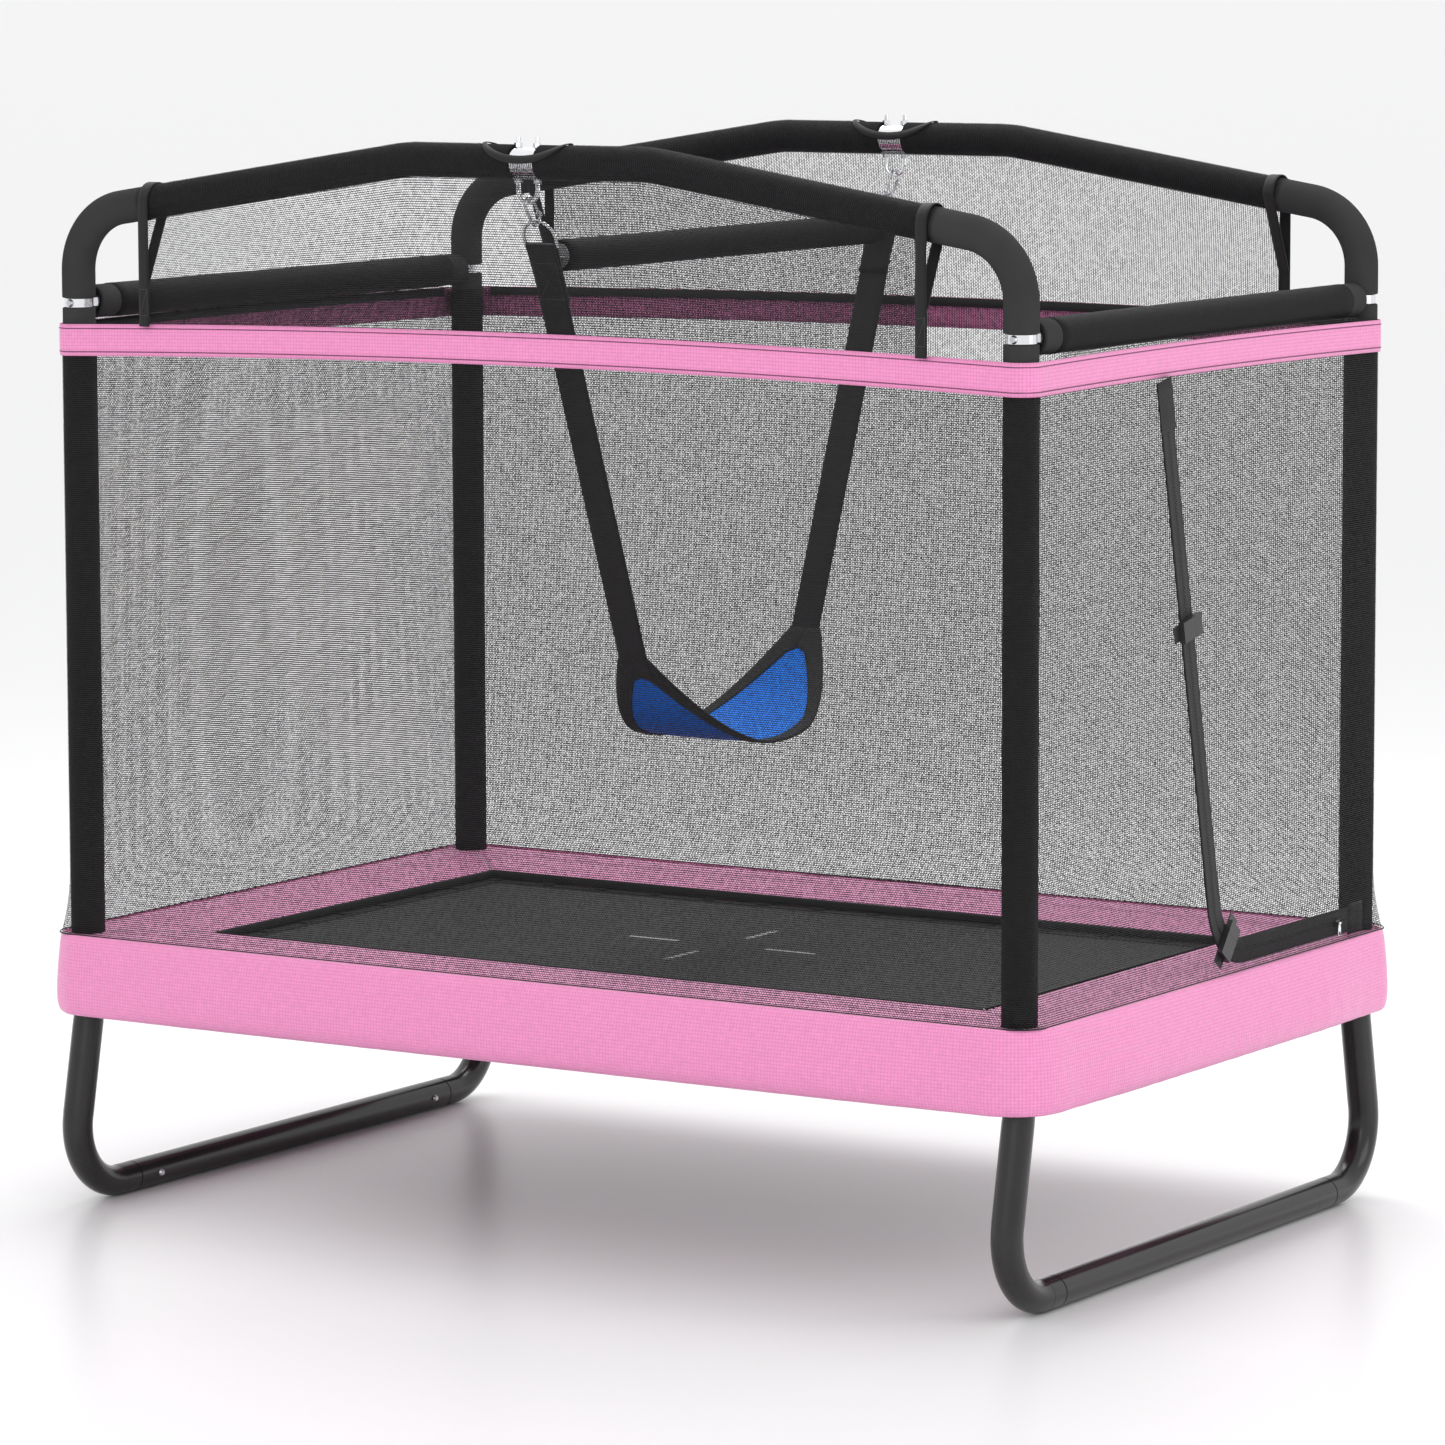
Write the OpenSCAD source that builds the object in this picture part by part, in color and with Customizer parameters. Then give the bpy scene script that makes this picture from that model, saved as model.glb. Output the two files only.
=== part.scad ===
// Rectangular play trampoline: a tube frame on two U-shaped feet, a sprung mat with a
// padded cover, a netted enclosure under two arches, and a sling swing hung between them.
// Millimetres. Origin on the floor at the middle of the frame, X along the length,
// +Z up, the zipped door in the +X side.

/* [Plan] */
// Distance between the post axes along the length
post_span_x = 1676; // [1560:1:1800]
// Distance between the post axes across the width
post_span_y = 1060; // [1000:1:1140]

/* [Base frame] */
// Height of the base rail axis above the floor
rail_z = 395; // [375:1:430]
// Outside diameter of the base rails, posts, arches and top rails
rail_d = 38; // [36:0.5:40]
// Wall thickness of every steel tube
tube_wall = 1.5; // [1.2:0.1:2]
// Play between a tube and whatever plugs into it or slides over it
fit_gap = 0.3; // [0.2:0.05:0.4]
// Outside diameter of the corner sockets
socket_d = 54; // [53:0.5:58]
// Height of the corner socket above the rail axis
socket_up = 33; // [30:1:38]
// Depth of the corner socket below the rail axis
socket_down = 55; // [45:1:65]
// Depth of the leg in the corner socket
socket_leg_hold = 32; // [25:1:34]
// Length of the spigots that tubes plug onto
spigot_l = 60; // [40:1:80]

/* [Legs and feet] */
// Outside diameter of the legs and feet
leg_d = 48; // [44:0.5:50]
// Height at which the leg starts to splay
knee_z = 305; // [285:1:320]
// Outward splay of the leg
leg_splay = 11.4; // [6:0.2:14]
// Bend radius at the top of the splay
knee_r = 150; // [100:5:200]
// Bend radius between the leg and the foot
foot_r = 100; // [80:1:120]
// Distance between the two seams of a foot
foot_tube_l = 740; // [640:1:760]

/* [Arches] */
// Height of the arch axis at its flat middle
arch_z = 1647; // [1600:1:1700]
// Half length of the flat middle of the arch
arch_flat = 215; // [150:1:260]
// Slope of the arch on each side of the middle
arch_slope = 8.9; // [6:0.1:12]
// Bend radius from the post into the arch
arch_bend_r = 100; // [80:1:120]
// Bend radius from the slope into the flat middle
crown_r = 260; // [200:5:320]
// Drop from the arch axis to the joint between a post and its arch corner
post_drop = 255; // [249:1:277]
// Distance from the middle to the joint in the arch
beam_half = 600; // [540:1:640]
// Height of the post clamps and of the short top rails above that joint
clamp_up = 22; // [18:1:48]
// Height of a post clamp band
clamp_h = 13; // [10:0.5:16]
// Thickness of a post clamp band
clamp_t = 3.2; // [2.5:0.1:4]
// Diameter of the head of a clamp screw
clamp_head_d = 12.5; // [10:0.5:13]

/* [Foam] */
// Outside diameter of the foam on posts, arches and top rails
foam_d = 52; // [50:0.5:54]
// Opening left in the foam round a post clamp
foam_gap = 15; // [13.5:0.5:20]
// Distance from a post axis to the end of the top rail foam
rail_foam_start = 30; // [28:0.5:36]
// Distance from the middle to the end of the dark corner foam
corner_foam_x = 700; // [660:1:720]
// Half length of the bare middle of the arch
hanger_gap = 23; // [22:0.5:30]

/* [Mat and springs] */
// Height of the top of the mat above the axis of the base rails
mat_up = 10.5; // [5:0.5:15]
// Thickness of the mat
mat_t = 3; // [2:0.5:4]
// Width of the webbing border of the mat
mat_border = 45; // [30:1:60]
// Thickness of the webbing above the mat
mat_border_t = 0.8; // [0.5:0.1:1.5]
// Distance from the mat to the base rail
spring_gap = 107; // [100:1:120]
// Outside diameter of a spring
spring_d = 11; // [9:0.5:12]
// Wire thickness of a spring hook
spring_wire = 2.8; // [2:0.1:3]
// Closest spacing between springs
spring_pitch = 100; // [85:1:140]
// Depth of a V-ring
ring_depth = 24; // [20:1:28]

/* [Pad and skirt] */
// Reach of the pad inwards from the post axes
pad_in = 142; // [130:1:150]
// Reach of the pad outwards from the post axes
pad_out = 49; // [42:1:52]
// Thickness of the pad at its inner edge
pad_t = 11; // [8:0.5:14]
// Height of the pad's crown above the base rail
pad_crown = 16; // [12:0.5:20]
// Widest reach of the skirt outwards from the post axes
skirt_out = 77; // [65:1:85]
// Height of the lower edge of the skirt
skirt_z = 306; // [290:1:330]
// Thickness of the skirt
skirt_t = 3; // [2:0.5:4]
// Inset of the corner centres of pad and skirt from the post axes
corner_inset = 25; // [15:1:45]

/* [Net and band] */
// Thickness of the net
net_t = 2; // [1:0.5:3]
// Strand width between the gaps of the net
net_strand = 8; // [5:0.5:14]
// Drop from the post clamps to the lower edge of the coloured band
band_drop = 81; // [69:1:114]
// Height of the coloured band
band_h = 49; // [40:1:60]
// Thickness of the coloured band
band_t = 2; // [1:0.5:3]
// Width of the straps looped over the arches
arch_strap_w = 18; // [15:1:30]
// Thickness of the straps looped over the arches
arch_strap_t = 1.7; // [1:0.1:2.5]

/* [Door] */
// Distance of the zip from the middle of the door side, at the band
zip_top_y = -165; // [-220:1:-100]
// Distance of the zip from the middle of the door side, at its bend
zip_low_y = 0; // [-40:1:20]
// Height of the middle of the level run of the zip
zip_z = 457; // [452:1:480]
// Width of the zip tape
zip_w = 38; // [30:1:44]
// Bend radius of the middle of the zip
zip_r = 100; // [80:1:130]
// Width of the zip's row of teeth
zip_teeth_w = 5; // [3:0.5:6]
// Distance of the closed slider from the middle of the door side
slider_y = 400; // [340:1:420]
// Length of the pull tab
pull_l = 21; // [16:1:22]
// Height of the upper buckle
buckle_z = 963; // [850:1:1050]
// Width of a buckle
buckle_w = 32; // [28:1:38]
// Length of a closed buckle
buckle_l = 56; // [50:1:64]

/* [Swing hangers] */
// Rod thickness of the U-bolts
ubolt_rod = 7; // [6:0.5:8]
// Distance between the legs of a U-bolt
ubolt_span = 34; // [30:1:36]
// Drop from the arch axis to the lowest point of the U-bolts
ubolt_drop = 63; // [55:1:77]
// Length of the chromed saddle round the arch
saddle_l = 44; // [43:0.5:46]
// Rod thickness of the snap hooks and strap rings
hook_rod = 5; // [4:0.5:6]
// Half width of a snap hook, to its rod's axis
hook_r = 11; // [10:0.5:13]
// Length of the straight side of a snap hook
hook_l = 26; // [22:1:30]
// Inward tilt of the snap hooks
hook_tilt = 38; // [30:1:42]
// Play where the hooks and rings hang in one another
hang_gap = 0.6; // [0.4:0.1:0.8]
// Half width of a strap ring, to its rod's axis
dring_r = 28; // [27.5:0.5:31]
// Height of the straight sides of a strap ring
dring_side = 13; // [10:0.5:18]

/* [Swing] */
// Width of the swing straps
strap_w = 50; // [40:1:52]
// Thickness of the swing straps
strap_t = 2.6; // [2:0.1:3]
// Distance of a seat tip from the middle
seat_tip_y = 252; // [220:1:280]
// Height of the seat tips
seat_tip_z = 879; // [840:1:920]
// Height of the bottom of the seat
seat_z = 733; // [700:1:760]
// Half width of the seat along X
seat_half = 108; // [95:1:125]
// Width of the webbing round the seat
seat_edge = 24; // [18:1:30]
// Thickness of the seat cloth
seat_t = 3; // [2:0.5:4]
// Drop from the U-bolts to the spreader bar's axis
bar_drop = 79; // [72:1:94]
// Distance from the end of the spreader bar to the middle of its strap
bar_tie = 39.1; // [25:0.1:59]
// Outside diameter of the spreader bar's foam
bar_foam_d = 48; // [46:0.5:50]

/* [Hidden] */
$fn = 48;
over = 1;
bend_lap = 0.6;
bend_draw = 0.5;
px = post_span_x / 2;
py = post_span_y / 2;
bore_d = rail_d - 2 * tube_wall;
spigot_d = bore_d - 2 * fit_gap;
slip_d = rail_d + 2 * fit_gap;
leg_bore = leg_d - 2 * tube_wall;
CORNERS = [[-1, -1], [1, -1], [1, 1], [-1, 1]];
PAIR = [-1, 1];

// Corner sockets and posts
socket_top = rail_z + socket_up;
leg_top_z = rail_z - socket_down + socket_leg_hold;
socket_web = 4;
post_seat_z = leg_top_z + socket_web;
rail_start = socket_d / 2 + fit_gap;
stub_l = 45;
screw_d = 5.8;
screw_hole_d = 6.4;
screw_head_d = 11;
screw_head_h = 4;
screw_l = 12;
clamp_screw_l = 9;
leg_screw_z = leg_top_z - socket_leg_hold / 2;
post_screw_z = rail_z + 5;

// Legs and feet
knee_t = knee_r * tan(leg_splay / 2);
foot_tangent_z = leg_d / 2 + foot_r * (1 + sin(leg_splay));
foot_tangent_y = py + (knee_z - foot_tangent_z) * tan(leg_splay);
foot_bend_y = foot_tangent_y - foot_r * cos(leg_splay);
seam_y = foot_tube_l / 2;
seam_screw = 12;
LEG_STEPS = [[leg_top_z - knee_z - knee_t], [knee_r, leg_splay],
    [(knee_z - foot_tangent_z) / cos(leg_splay) - knee_t], [foot_r, -90 - leg_splay],
    [foot_bend_y - seam_y - fit_gap]];

// Heights that hang from the arch
post_top_z = arch_z - post_drop;
clamp_z = post_top_z + clamp_up;
band_z = clamp_z - band_drop;
ubolt_z = arch_z - ubolt_drop;
bar_z = ubolt_z - bar_drop;

// Arches
rise = 90 - arch_slope;
arch_knee_z = arch_z - (px - arch_flat) * tan(arch_slope);
arch_t = arch_bend_r * tan(rise / 2);
crown_t = crown_r * tan(arch_slope / 2);
bend_x = px - arch_t * cos(arch_slope);
function slope_z(x) = arch_z - max(0, x - arch_flat) * tan(arch_slope);
function slope_l(a, b) = (a - b) / cos(arch_slope);

// Foam ends at a post clamp
foam_low_z = clamp_z - foam_gap / 2;
foam_high_z = clamp_z + foam_gap / 2;
clamp_out = slip_d / 2 + clamp_t;
neck_w = 24;
neck_lap = 4;
clamp_spigot_l = 34;
rail_tube_start = foam_d / 2 + 2;

// Soft layers outside the foam
net_off = foam_d / 2 + fit_gap;
band_off = net_off + net_t + fit_gap;
net_bottom = rail_z + rail_d / 2 + pad_crown;
band_top = band_z + band_h;
strap_join = 66;
strap_gap = 1;
strap_side = 6;
strap_x = corner_foam_x - arch_strap_w / 2 - strap_gap;
net_crown_x = corner_foam_x - arch_strap_w - 2 * strap_gap;
net_rim = 20;
net_door_rim = 60;

// Mat and springs
mat_x = px - rail_d / 2 - spring_gap;
mat_y = py - rail_d / 2 - spring_gap;
mat_z = rail_z + mat_up;
spring_z = mat_z - mat_t / 2;
hook_wall = sqrt(pow(bore_d / 2 - fit_gap, 2) - pow(spring_z + spring_wire / 2 - rail_z, 2));
hook_end = spring_gap + rail_d / 2 - hook_wall + spring_wire / 2;
hook_drop = 8;
spring_inset = 30;
spring_hole_d = 5;
ring_t = 3;
ring_bar = 3.6;
ring_base = 4;
ring_half = 13;
ring_side = 6;
ring_tip = 2;
ring_notch = 1.6;
ring_tab_half = ring_half - ring_side - 1;
ring_tab_lap = 2;
ring_tab_wall = 1;
spring_eye = 4.4;
spring_neck = 5;
spring_tail = 7;
spring_draw = 0.4;
spring_start = ring_base + ring_depth + spring_eye + spring_neck;
spring_stop = spring_gap - spring_tail;
springs_long = floor(2 * (mat_x - spring_inset) / spring_pitch) + 1;
springs_short = floor(2 * (mat_y - spring_inset) / spring_pitch) + 1;
function places(n, half) =
    [for (i = [0 : n - 1]) (half - spring_inset) * (2 * i / (n - 1) - 1)];

// Pad and skirt
pad_seat = rail_z + rail_d / 2 + fit_gap;
pad_inner_z = mat_z + 4;
pad_top = rail_z + rail_d / 2 + pad_crown;
corner_x = px - corner_inset;
corner_y = py - corner_inset;
post_hole_d = socket_d + 2 * fit_gap;
mitre_gap = 0.2;
PAD_SECTION = [[-pad_in, pad_inner_z], [0, pad_seat], [pad_out, pad_seat], [pad_out, pad_top - 4],
    [pad_out - 5, pad_top - 1.5], [0, pad_top], [-pad_in / 2, pad_top - 3],
    [-pad_in + 7, pad_inner_z + pad_t], [-pad_in, pad_inner_z + pad_t - 3]];
skirt_drop = pad_top - skirt_z;
SKIRT_OUTER = [[pad_out + skirt_t + fit_gap, 0], [skirt_out - 17, 0.07], [skirt_out - 10, 0.24],
    [skirt_out - 4, 0.44], [skirt_out - 0.5, 0.64], [skirt_out, 0.77], [skirt_out - 3, 0.88],
    [skirt_out - 11, 0.96], [skirt_out - 23, 1]];
SKIRT_SECTION = concat([for (p = SKIRT_OUTER) [p[0], pad_top - p[1] * skirt_drop]],
    [for (i = [len(SKIRT_OUTER) - 1 : -1 : 0])
        [SKIRT_OUTER[i][0] - skirt_t, pad_top - SKIRT_OUTER[i][1] * skirt_drop]]);

// Door
tape_off = net_off + net_t + fit_gap;
tape_t = 1.5;
teeth_t = 1.6;
teeth_off = tape_off + tape_t;
zip_top_z = band_z - fit_gap;
zip_c = [zip_low_y + zip_r, zip_z + zip_r];
zip_reach = norm([zip_c[0] - zip_top_y, zip_top_z - zip_c[1]]);
zip_lean = atan((zip_c[0] - zip_top_y) / (zip_top_z - zip_c[1])) - asin(zip_r / zip_reach);
zip_run_l = sqrt(pow(zip_reach, 2) - pow(zip_r, 2));
zip_low = zip_c - zip_r * [cos(zip_lean), sin(zip_lean)];
zip_inset = 40;
zip_end_y = py - zip_inset;
slider_l = 13;
slider_w = 10;
slider_t = 4.6;
bail_d = 1.8;
bail_l = 10;
bail_w = 3;
bail_clear = 1.6;
bail_sink = 0.5;
bail_off = teeth_off + teeth_t + slider_t + bail_clear;
pull_t = 1.6;
pull_w = 9;
pull_eye_wall = 1.3;
pull_neck_w = 6.8;
pull_neck_l = 7;
pull_slot_w = 4.8;
pull_slot_h = 5;
pull_slot_up = 3;
pull_lap = 0.6;
turn_play = 0.1;
buckle_t = 9;
buckle_wall = 2;
buckle_rim = 3;
buckle_split = 0.12 * buckle_l;
buckle_low_turn = 52;
tongue_l = 22;
tongue_w = 5;
tongue_pitch = 9;
tab_l = 14;
tab_w = 25;
tab_clear = 4;
tab_inset = 3;
tab_sink = 0.1;
buckle_off = teeth_off + teeth_t + fit_gap + tab_sink;
buckle_y = zip_top_y + (zip_top_z - buckle_z) * tan(zip_lean);

// Swing hangers
ubolt_thread = 18;
saddle_wall = 2;
u_c_z = ubolt_z + ubolt_rod / 2 + ubolt_span / 2;
u_rod_z = ubolt_z + ubolt_rod / 2;
u_top_z = arch_z + rail_d / 2 + ubolt_thread;
saddle_d = slip_d + 2 * saddle_wall;
hanger_plate_t = 3.4;
hanger_nut_h = 6.5;
hanger_nut_d = 12.5;
hanger_plate_w = 16;
hook_c_off = hook_r - hook_rod / 2 - ubolt_rod / 2 - hang_gap;
hook_c = [-py + hook_c_off * sin(hook_tilt), u_rod_z - hook_c_off * cos(hook_tilt)];
hook_e = [hook_c[0] + hook_l * sin(hook_tilt), hook_c[1] - hook_l * cos(hook_tilt)];
gate_hinge_d = 2.4;
gate_eye_d = 6.2;
gate_eye_w = 3;
gate_neck_d = 2.9;
gate_neck_l = 1;
gate_lap = 0.5;
gate_rod_d = hook_rod - 0.6;
gate_l = hook_l - gate_eye_d / 2 - 2;
fork_ear = 1.6;
fork_foot = 1.8;
fork_cut = asin((gate_eye_d / 2 + fit_gap) / hook_r);
ring_play = hook_r - hook_rod - hang_gap;
dring_drop = dring_r + dring_side;
strap_lean_guess = atan((-hook_e[0] - seat_tip_y) / (hook_e[1] - seat_tip_z));
dring_top = [hook_e[0] + ring_play * sin(strap_lean_guess),
    hook_e[1] - ring_play * cos(strap_lean_guess)];
strap_lean = atan((-dring_top[0] - seat_tip_y) / (dring_top[1] - seat_tip_z));
dring_bar = [dring_top[0] + dring_drop * sin(strap_lean), dring_top[1] - dring_drop * cos(strap_lean)];

// Swing
loop_in = hook_rod / 2 + fit_gap;
edge_t = 0.6;
strap_reach = (dring_bar[1] - seat_tip_z - seat_t - edge_t - fit_gap) / cos(strap_lean);
bar_strap_y = -dring_bar[0] - (dring_bar[1] - bar_z) * tan(strap_lean);
bar_l = 2 * (bar_strap_y - bar_tie);
bar_foam_inset = 1;
bar_cap_t = 2;
bar_plug_l = 19;
bar_tab_w = 28;
bar_tab_t = 3;
bar_tab_low = 2;
seat_shoulder = 12;
tip_half = strap_w / 2;
SEAT_STEPS = 24;
function sag(y) = seat_z + (seat_tip_z - seat_z) * pow(abs(y) / seat_tip_y, 2.3);
function sling(t, edge) = [for (i = [0 : SEAT_STEPS])
    let (y = edge * (-1 + 2 * i / SEAT_STEPS)) [y, sag(y) + t]];
function back_to_front(points) = [for (i = [len(points) - 1 : -1 : 0]) points[i]];

// Hollow bar along steps, each [length] or [bend radius, bend angle], starting up +Z and
// bending towards +X
module tube_path(d, bore, steps, i = 0) {
    if (i < len(steps)) {
        step = steps[i];
        if (len(step) == 1) {
            tube(d, bore, step[0]);
            translate([0, 0, step[0]]) tube_path(d, bore, steps, i + 1);
        } else {
            elbow(d, bore, step[0], step[1]);
            translate([sign(step[1]) * step[0] * (1 - cos(step[1])), 0, step[0] * sin(abs(step[1]))])
                rotate([0, step[1], 0]) tube_path(d, bore, steps, i + 1);
        }
    }
}

// Bend of a tube, drawn a little thinner than the straight lengths that it laps into
module elbow(d, bore, r, angle) {
    turn = angle < 0 ? 180 : 0;
    lap = bend_lap / r * 180 / PI;
    rotate([0, 0, turn]) translate([r, 0, 0]) rotate([90, 0, 0]) rotate([0, 0, 180 - abs(angle) - lap])
        rotate_extrude(angle = abs(angle) + 2 * lap) translate([r, 0]) difference() {
            circle(d = d - bend_draw);
            circle(d = bore + bend_draw);
        }
}

module tube(d, bore, l) {
    difference() {
        cylinder(d = d, h = l);
        translate([0, 0, -over]) cylinder(d = bore, h = l + 2 * over);
    }
}

// Drawn-in tube end, from inside the tube down into the next one
module spigot_end() {
    neck = 8;
    difference() {
        union() {
            translate([0, 0, -spigot_l]) cylinder(d = spigot_d, h = spigot_l + neck);
            cylinder(d = rail_d - tube_wall, h = neck);
        }
        translate([0, 0, -spigot_l - over])
            cylinder(d = spigot_d - 2 * tube_wall, h = spigot_l + neck + 2 * over);
    }
}

// Cylinders along X and Y from a point
module along_x(d, l) {
    rotate([0, 90, 0]) cylinder(d = d, h = l);
}
module along_y(d, l) {
    rotate([-90, 0, 0]) cylinder(d = d, h = l);
}

// Places a child, made at the middle of the -Y side and facing out along -Y, on any side
module on_side(side) {
    turn = side == "front" ? 0 : side == "right" ? 90 : side == "rear" ? 180 : 270;
    shift = side == "front" || side == "rear" ? py : px;
    rotate([0, 0, turn]) translate([0, -shift, 0]) children();
}

// ---- Base frame ----

module base_rail(side, post_half, mat_half, count) {
    color("#26272a") on_side(side) difference() {
        translate([-post_half + rail_start, 0, rail_z]) rotate([0, 90, 0])
            tube(rail_d, bore_d, 2 * (post_half - rail_start));
        for (x = places(count, mat_half))
            translate([x, 0, spring_z]) along_y(spring_hole_d, rail_d);
    }
}

module corner_sockets() {
    color("#26272a") for (c = CORNERS) translate([c[0] * px, c[1] * py, 0]) difference() {
        union() {
            translate([0, 0, rail_z - socket_down]) cylinder(d = socket_d, h = socket_down + socket_up);
            translate([0, 0, rail_z]) mirror([c[0] > 0 ? 1 : 0, 0, 0])
                along_x(spigot_d, rail_start + stub_l);
            translate([0, 0, rail_z]) mirror([0, c[1] > 0 ? 1 : 0, 0])
                along_y(spigot_d, rail_start + stub_l);
        }
        translate([0, 0, rail_z - socket_down - over])
            cylinder(d = leg_d + 2 * fit_gap, h = socket_leg_hold + over + fit_gap);
        translate([0, 0, post_seat_z]) cylinder(d = slip_d, h = socket_top);
        for (z = [leg_screw_z, post_screw_z]) socket_screw_hole(c[1], z);
    }
}

module socket_screw_hole(side, z) {
    translate([0, side > 0 ? 0 : -socket_d, z]) along_y(screw_hole_d, socket_d);
}

// Button-head screw with its head at the origin, pointing along +Z
module button_screw(head_d, l) {
    cylinder(d = screw_d, h = l);
    translate([0, 0, -screw_head_h]) cylinder(d1 = head_d * 0.7, d2 = head_d, h = screw_head_h);
}

module frame_screws() {
    color("#b9bcc0") {
        for (c = CORNERS, z = [leg_screw_z, post_screw_z])
            translate([c[0] * px, c[1] * (py + socket_d / 2 + fit_gap), z]) rotate([c[1] * 90, 0, 0])
                button_screw(screw_head_d, screw_l);
        for (c = CORNERS)
            translate([c[0] * (px - leg_d / 2 - fit_gap), c[1] * (seam_y + seam_screw), leg_d / 2])
                rotate([0, c[0] * 90, 0])
                    button_screw(screw_head_d, screw_l);
        for (c = CORNERS)
            translate([c[0] * px, c[1] * (py + clamp_out + fit_gap), clamp_z]) rotate([c[1] * 90, 0, 0])
                button_screw(clamp_head_d, clamp_screw_l);
    }
}

module leg(sx, sy) {
    color("#1f2023") translate([sx * px, sy * py, leg_top_z]) difference() {
        rotate([0, 0, sy * 90]) rotate([180, 0, 0]) tube_path(leg_d, leg_bore, LEG_STEPS);
        translate([0, sy > 0 ? 0 : -leg_d, leg_screw_z - leg_top_z]) along_y(screw_hole_d, leg_d);
        translate([sx > 0 ? -leg_d : 0, sy * (seam_y + seam_screw - py), leg_d / 2 - leg_top_z])
            along_x(screw_hole_d, leg_d);
    }
}

module foot_tube(sx) {
    reach = seam_y + spigot_l;
    color("#1f2023") translate([sx * px, 0, leg_d / 2]) difference() {
        union() {
            translate([0, -seam_y, 0]) along_y(leg_d, 2 * seam_y);
            translate([0, -reach, 0]) along_y(leg_bore - 2 * fit_gap, 2 * reach);
        }
        translate([0, -reach - over, 0]) along_y(leg_bore - 2 * fit_gap - 2 * tube_wall, 2 * (reach + over));
        for (s = PAIR) translate([sx > 0 ? -leg_d : 0, s * (seam_y + seam_screw), 0])
            along_x(screw_hole_d, leg_d);
    }
}

// ---- Posts, arches and top rails ----

module post(sx, sy) {
    color("#2b2c2f") translate([sx * px, sy * py, 0]) difference() {
        translate([0, 0, post_seat_z + fit_gap])
            tube(rail_d, bore_d, post_top_z - post_seat_z - 2 * fit_gap);
        socket_screw_hole(sy, post_screw_z);
    }
}

module post_foams() {
    color("#2b2c2f") for (c = CORNERS) translate([c[0] * px, c[1] * py, socket_top + fit_gap])
        tube(foam_d, slip_d, foam_low_z - socket_top - fit_gap);
}

// Two bent corner tubes of one arch, each with a spigot down into its post
module arch_corners(sy) {
    steps = [[arch_knee_z - arch_t - post_top_z], [arch_bend_r, rise], [slope_l(bend_x, beam_half)]];
    color("#2b2c2f") translate([0, sy * py, 0]) for (s = [0, 1]) mirror([s, 0, 0])
        translate([-px, 0, post_top_z]) difference() {
            union() {
                tube_path(rail_d, bore_d, steps);
                spigot_end();
            }
            translate([0, sy > 0 ? 0 : -rail_d, clamp_z - post_top_z]) along_y(screw_hole_d, rail_d);
        }
}

// Places a child at the left arch joint, pointing up the slope
module at_left_slope(x) {
    translate([-x, 0, slope_z(x)]) rotate([0, rise, 0]) children();
}

module arch_beam(sy) {
    run = slope_l(beam_half, arch_flat) - crown_t;
    flat = 2 * (arch_flat - crown_t);
    color("#2b2c2f") translate([0, sy * py, 0]) difference() {
        union() {
            at_left_slope(beam_half) translate([0, 0, fit_gap]) tube_path(rail_d, bore_d,
                [[run - fit_gap], [crown_r, arch_slope], [flat], [crown_r, arch_slope], [run - fit_gap]]);
            for (s = [0, 1]) mirror([s, 0, 0]) at_left_slope(beam_half) translate([0, 0, fit_gap])
                spigot_end();
        }
        for (s = PAIR) translate([s * ubolt_span / 2, 0, arch_z - rail_d])
            cylinder(d = ubolt_rod + 1, h = 2 * rail_d);
    }
}

module corner_foams() {
    steps = [[arch_knee_z - arch_t - foam_high_z], [arch_bend_r, rise],
        [slope_l(bend_x, corner_foam_x)]];
    color("#45464a") for (sy = PAIR, s = [0, 1]) mirror([s, 0, 0])
        translate([-px, sy * py, foam_high_z]) tube_path(foam_d, slip_d, steps);
}

module beam_foams() {
    run = slope_l(corner_foam_x - fit_gap, arch_flat) - crown_t;
    steps = [[run], [crown_r, arch_slope], [arch_flat - crown_t - hanger_gap]];
    color("#303134") for (sy = PAIR, s = [0, 1]) mirror([s, 0, 0]) translate([0, sy * py, 0])
        at_left_slope(corner_foam_x - fit_gap) tube_path(foam_d, slip_d, steps);
}

module top_rails() {
    half = py - rail_tube_start;
    color("#2b2c2f") for (s = PAIR) translate([s * px, -half, clamp_z]) rotate([-90, 0, 0])
        tube(rail_d, bore_d, 2 * half);
}

module top_rail_foams() {
    half = py - rail_foam_start;
    color("#45464a") for (s = PAIR) translate([s * px, -half, clamp_z]) rotate([-90, 0, 0])
        tube(foam_d, slip_d, 2 * half);
}

// Chromed band round the arch corner tube, with a neck and a spigot for the top rail
module post_clamps() {
    color("#d9dbde") for (c = CORNERS) translate([c[0] * px, c[1] * py, clamp_z])
        rotate([0, 0, c[1] > 0 ? 180 : 0]) difference() {
            union() {
                translate([0, 0, -clamp_h / 2]) cylinder(r = clamp_out, h = clamp_h);
                translate([-neck_w / 2, clamp_out - neck_lap, -clamp_h / 2])
                    cube([neck_w, rail_tube_start - fit_gap - clamp_out + neck_lap, clamp_h]);
                translate([0, foam_d / 2 + fit_gap, 0]) along_y(spigot_d, clamp_spigot_l);
            }
            translate([0, 0, -clamp_h]) cylinder(d = slip_d, h = 2 * clamp_h);
            translate([0, -2 * clamp_out, 0]) along_y(screw_hole_d, 2 * clamp_out);
        }
}

// ---- Swing hangers on the arches ----

module beam_saddles() {
    color("#dfe1e4") for (sy = PAIR) translate([0, sy * py, arch_z]) difference() {
        translate([-saddle_l / 2, 0, 0]) rotate([0, 90, 0]) tube(saddle_d, slip_d, saddle_l);
        for (s = PAIR) translate([s * ubolt_span / 2, 0, -rail_d])
            cylinder(d = ubolt_rod + 1, h = 2 * rail_d);
    }
}

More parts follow.
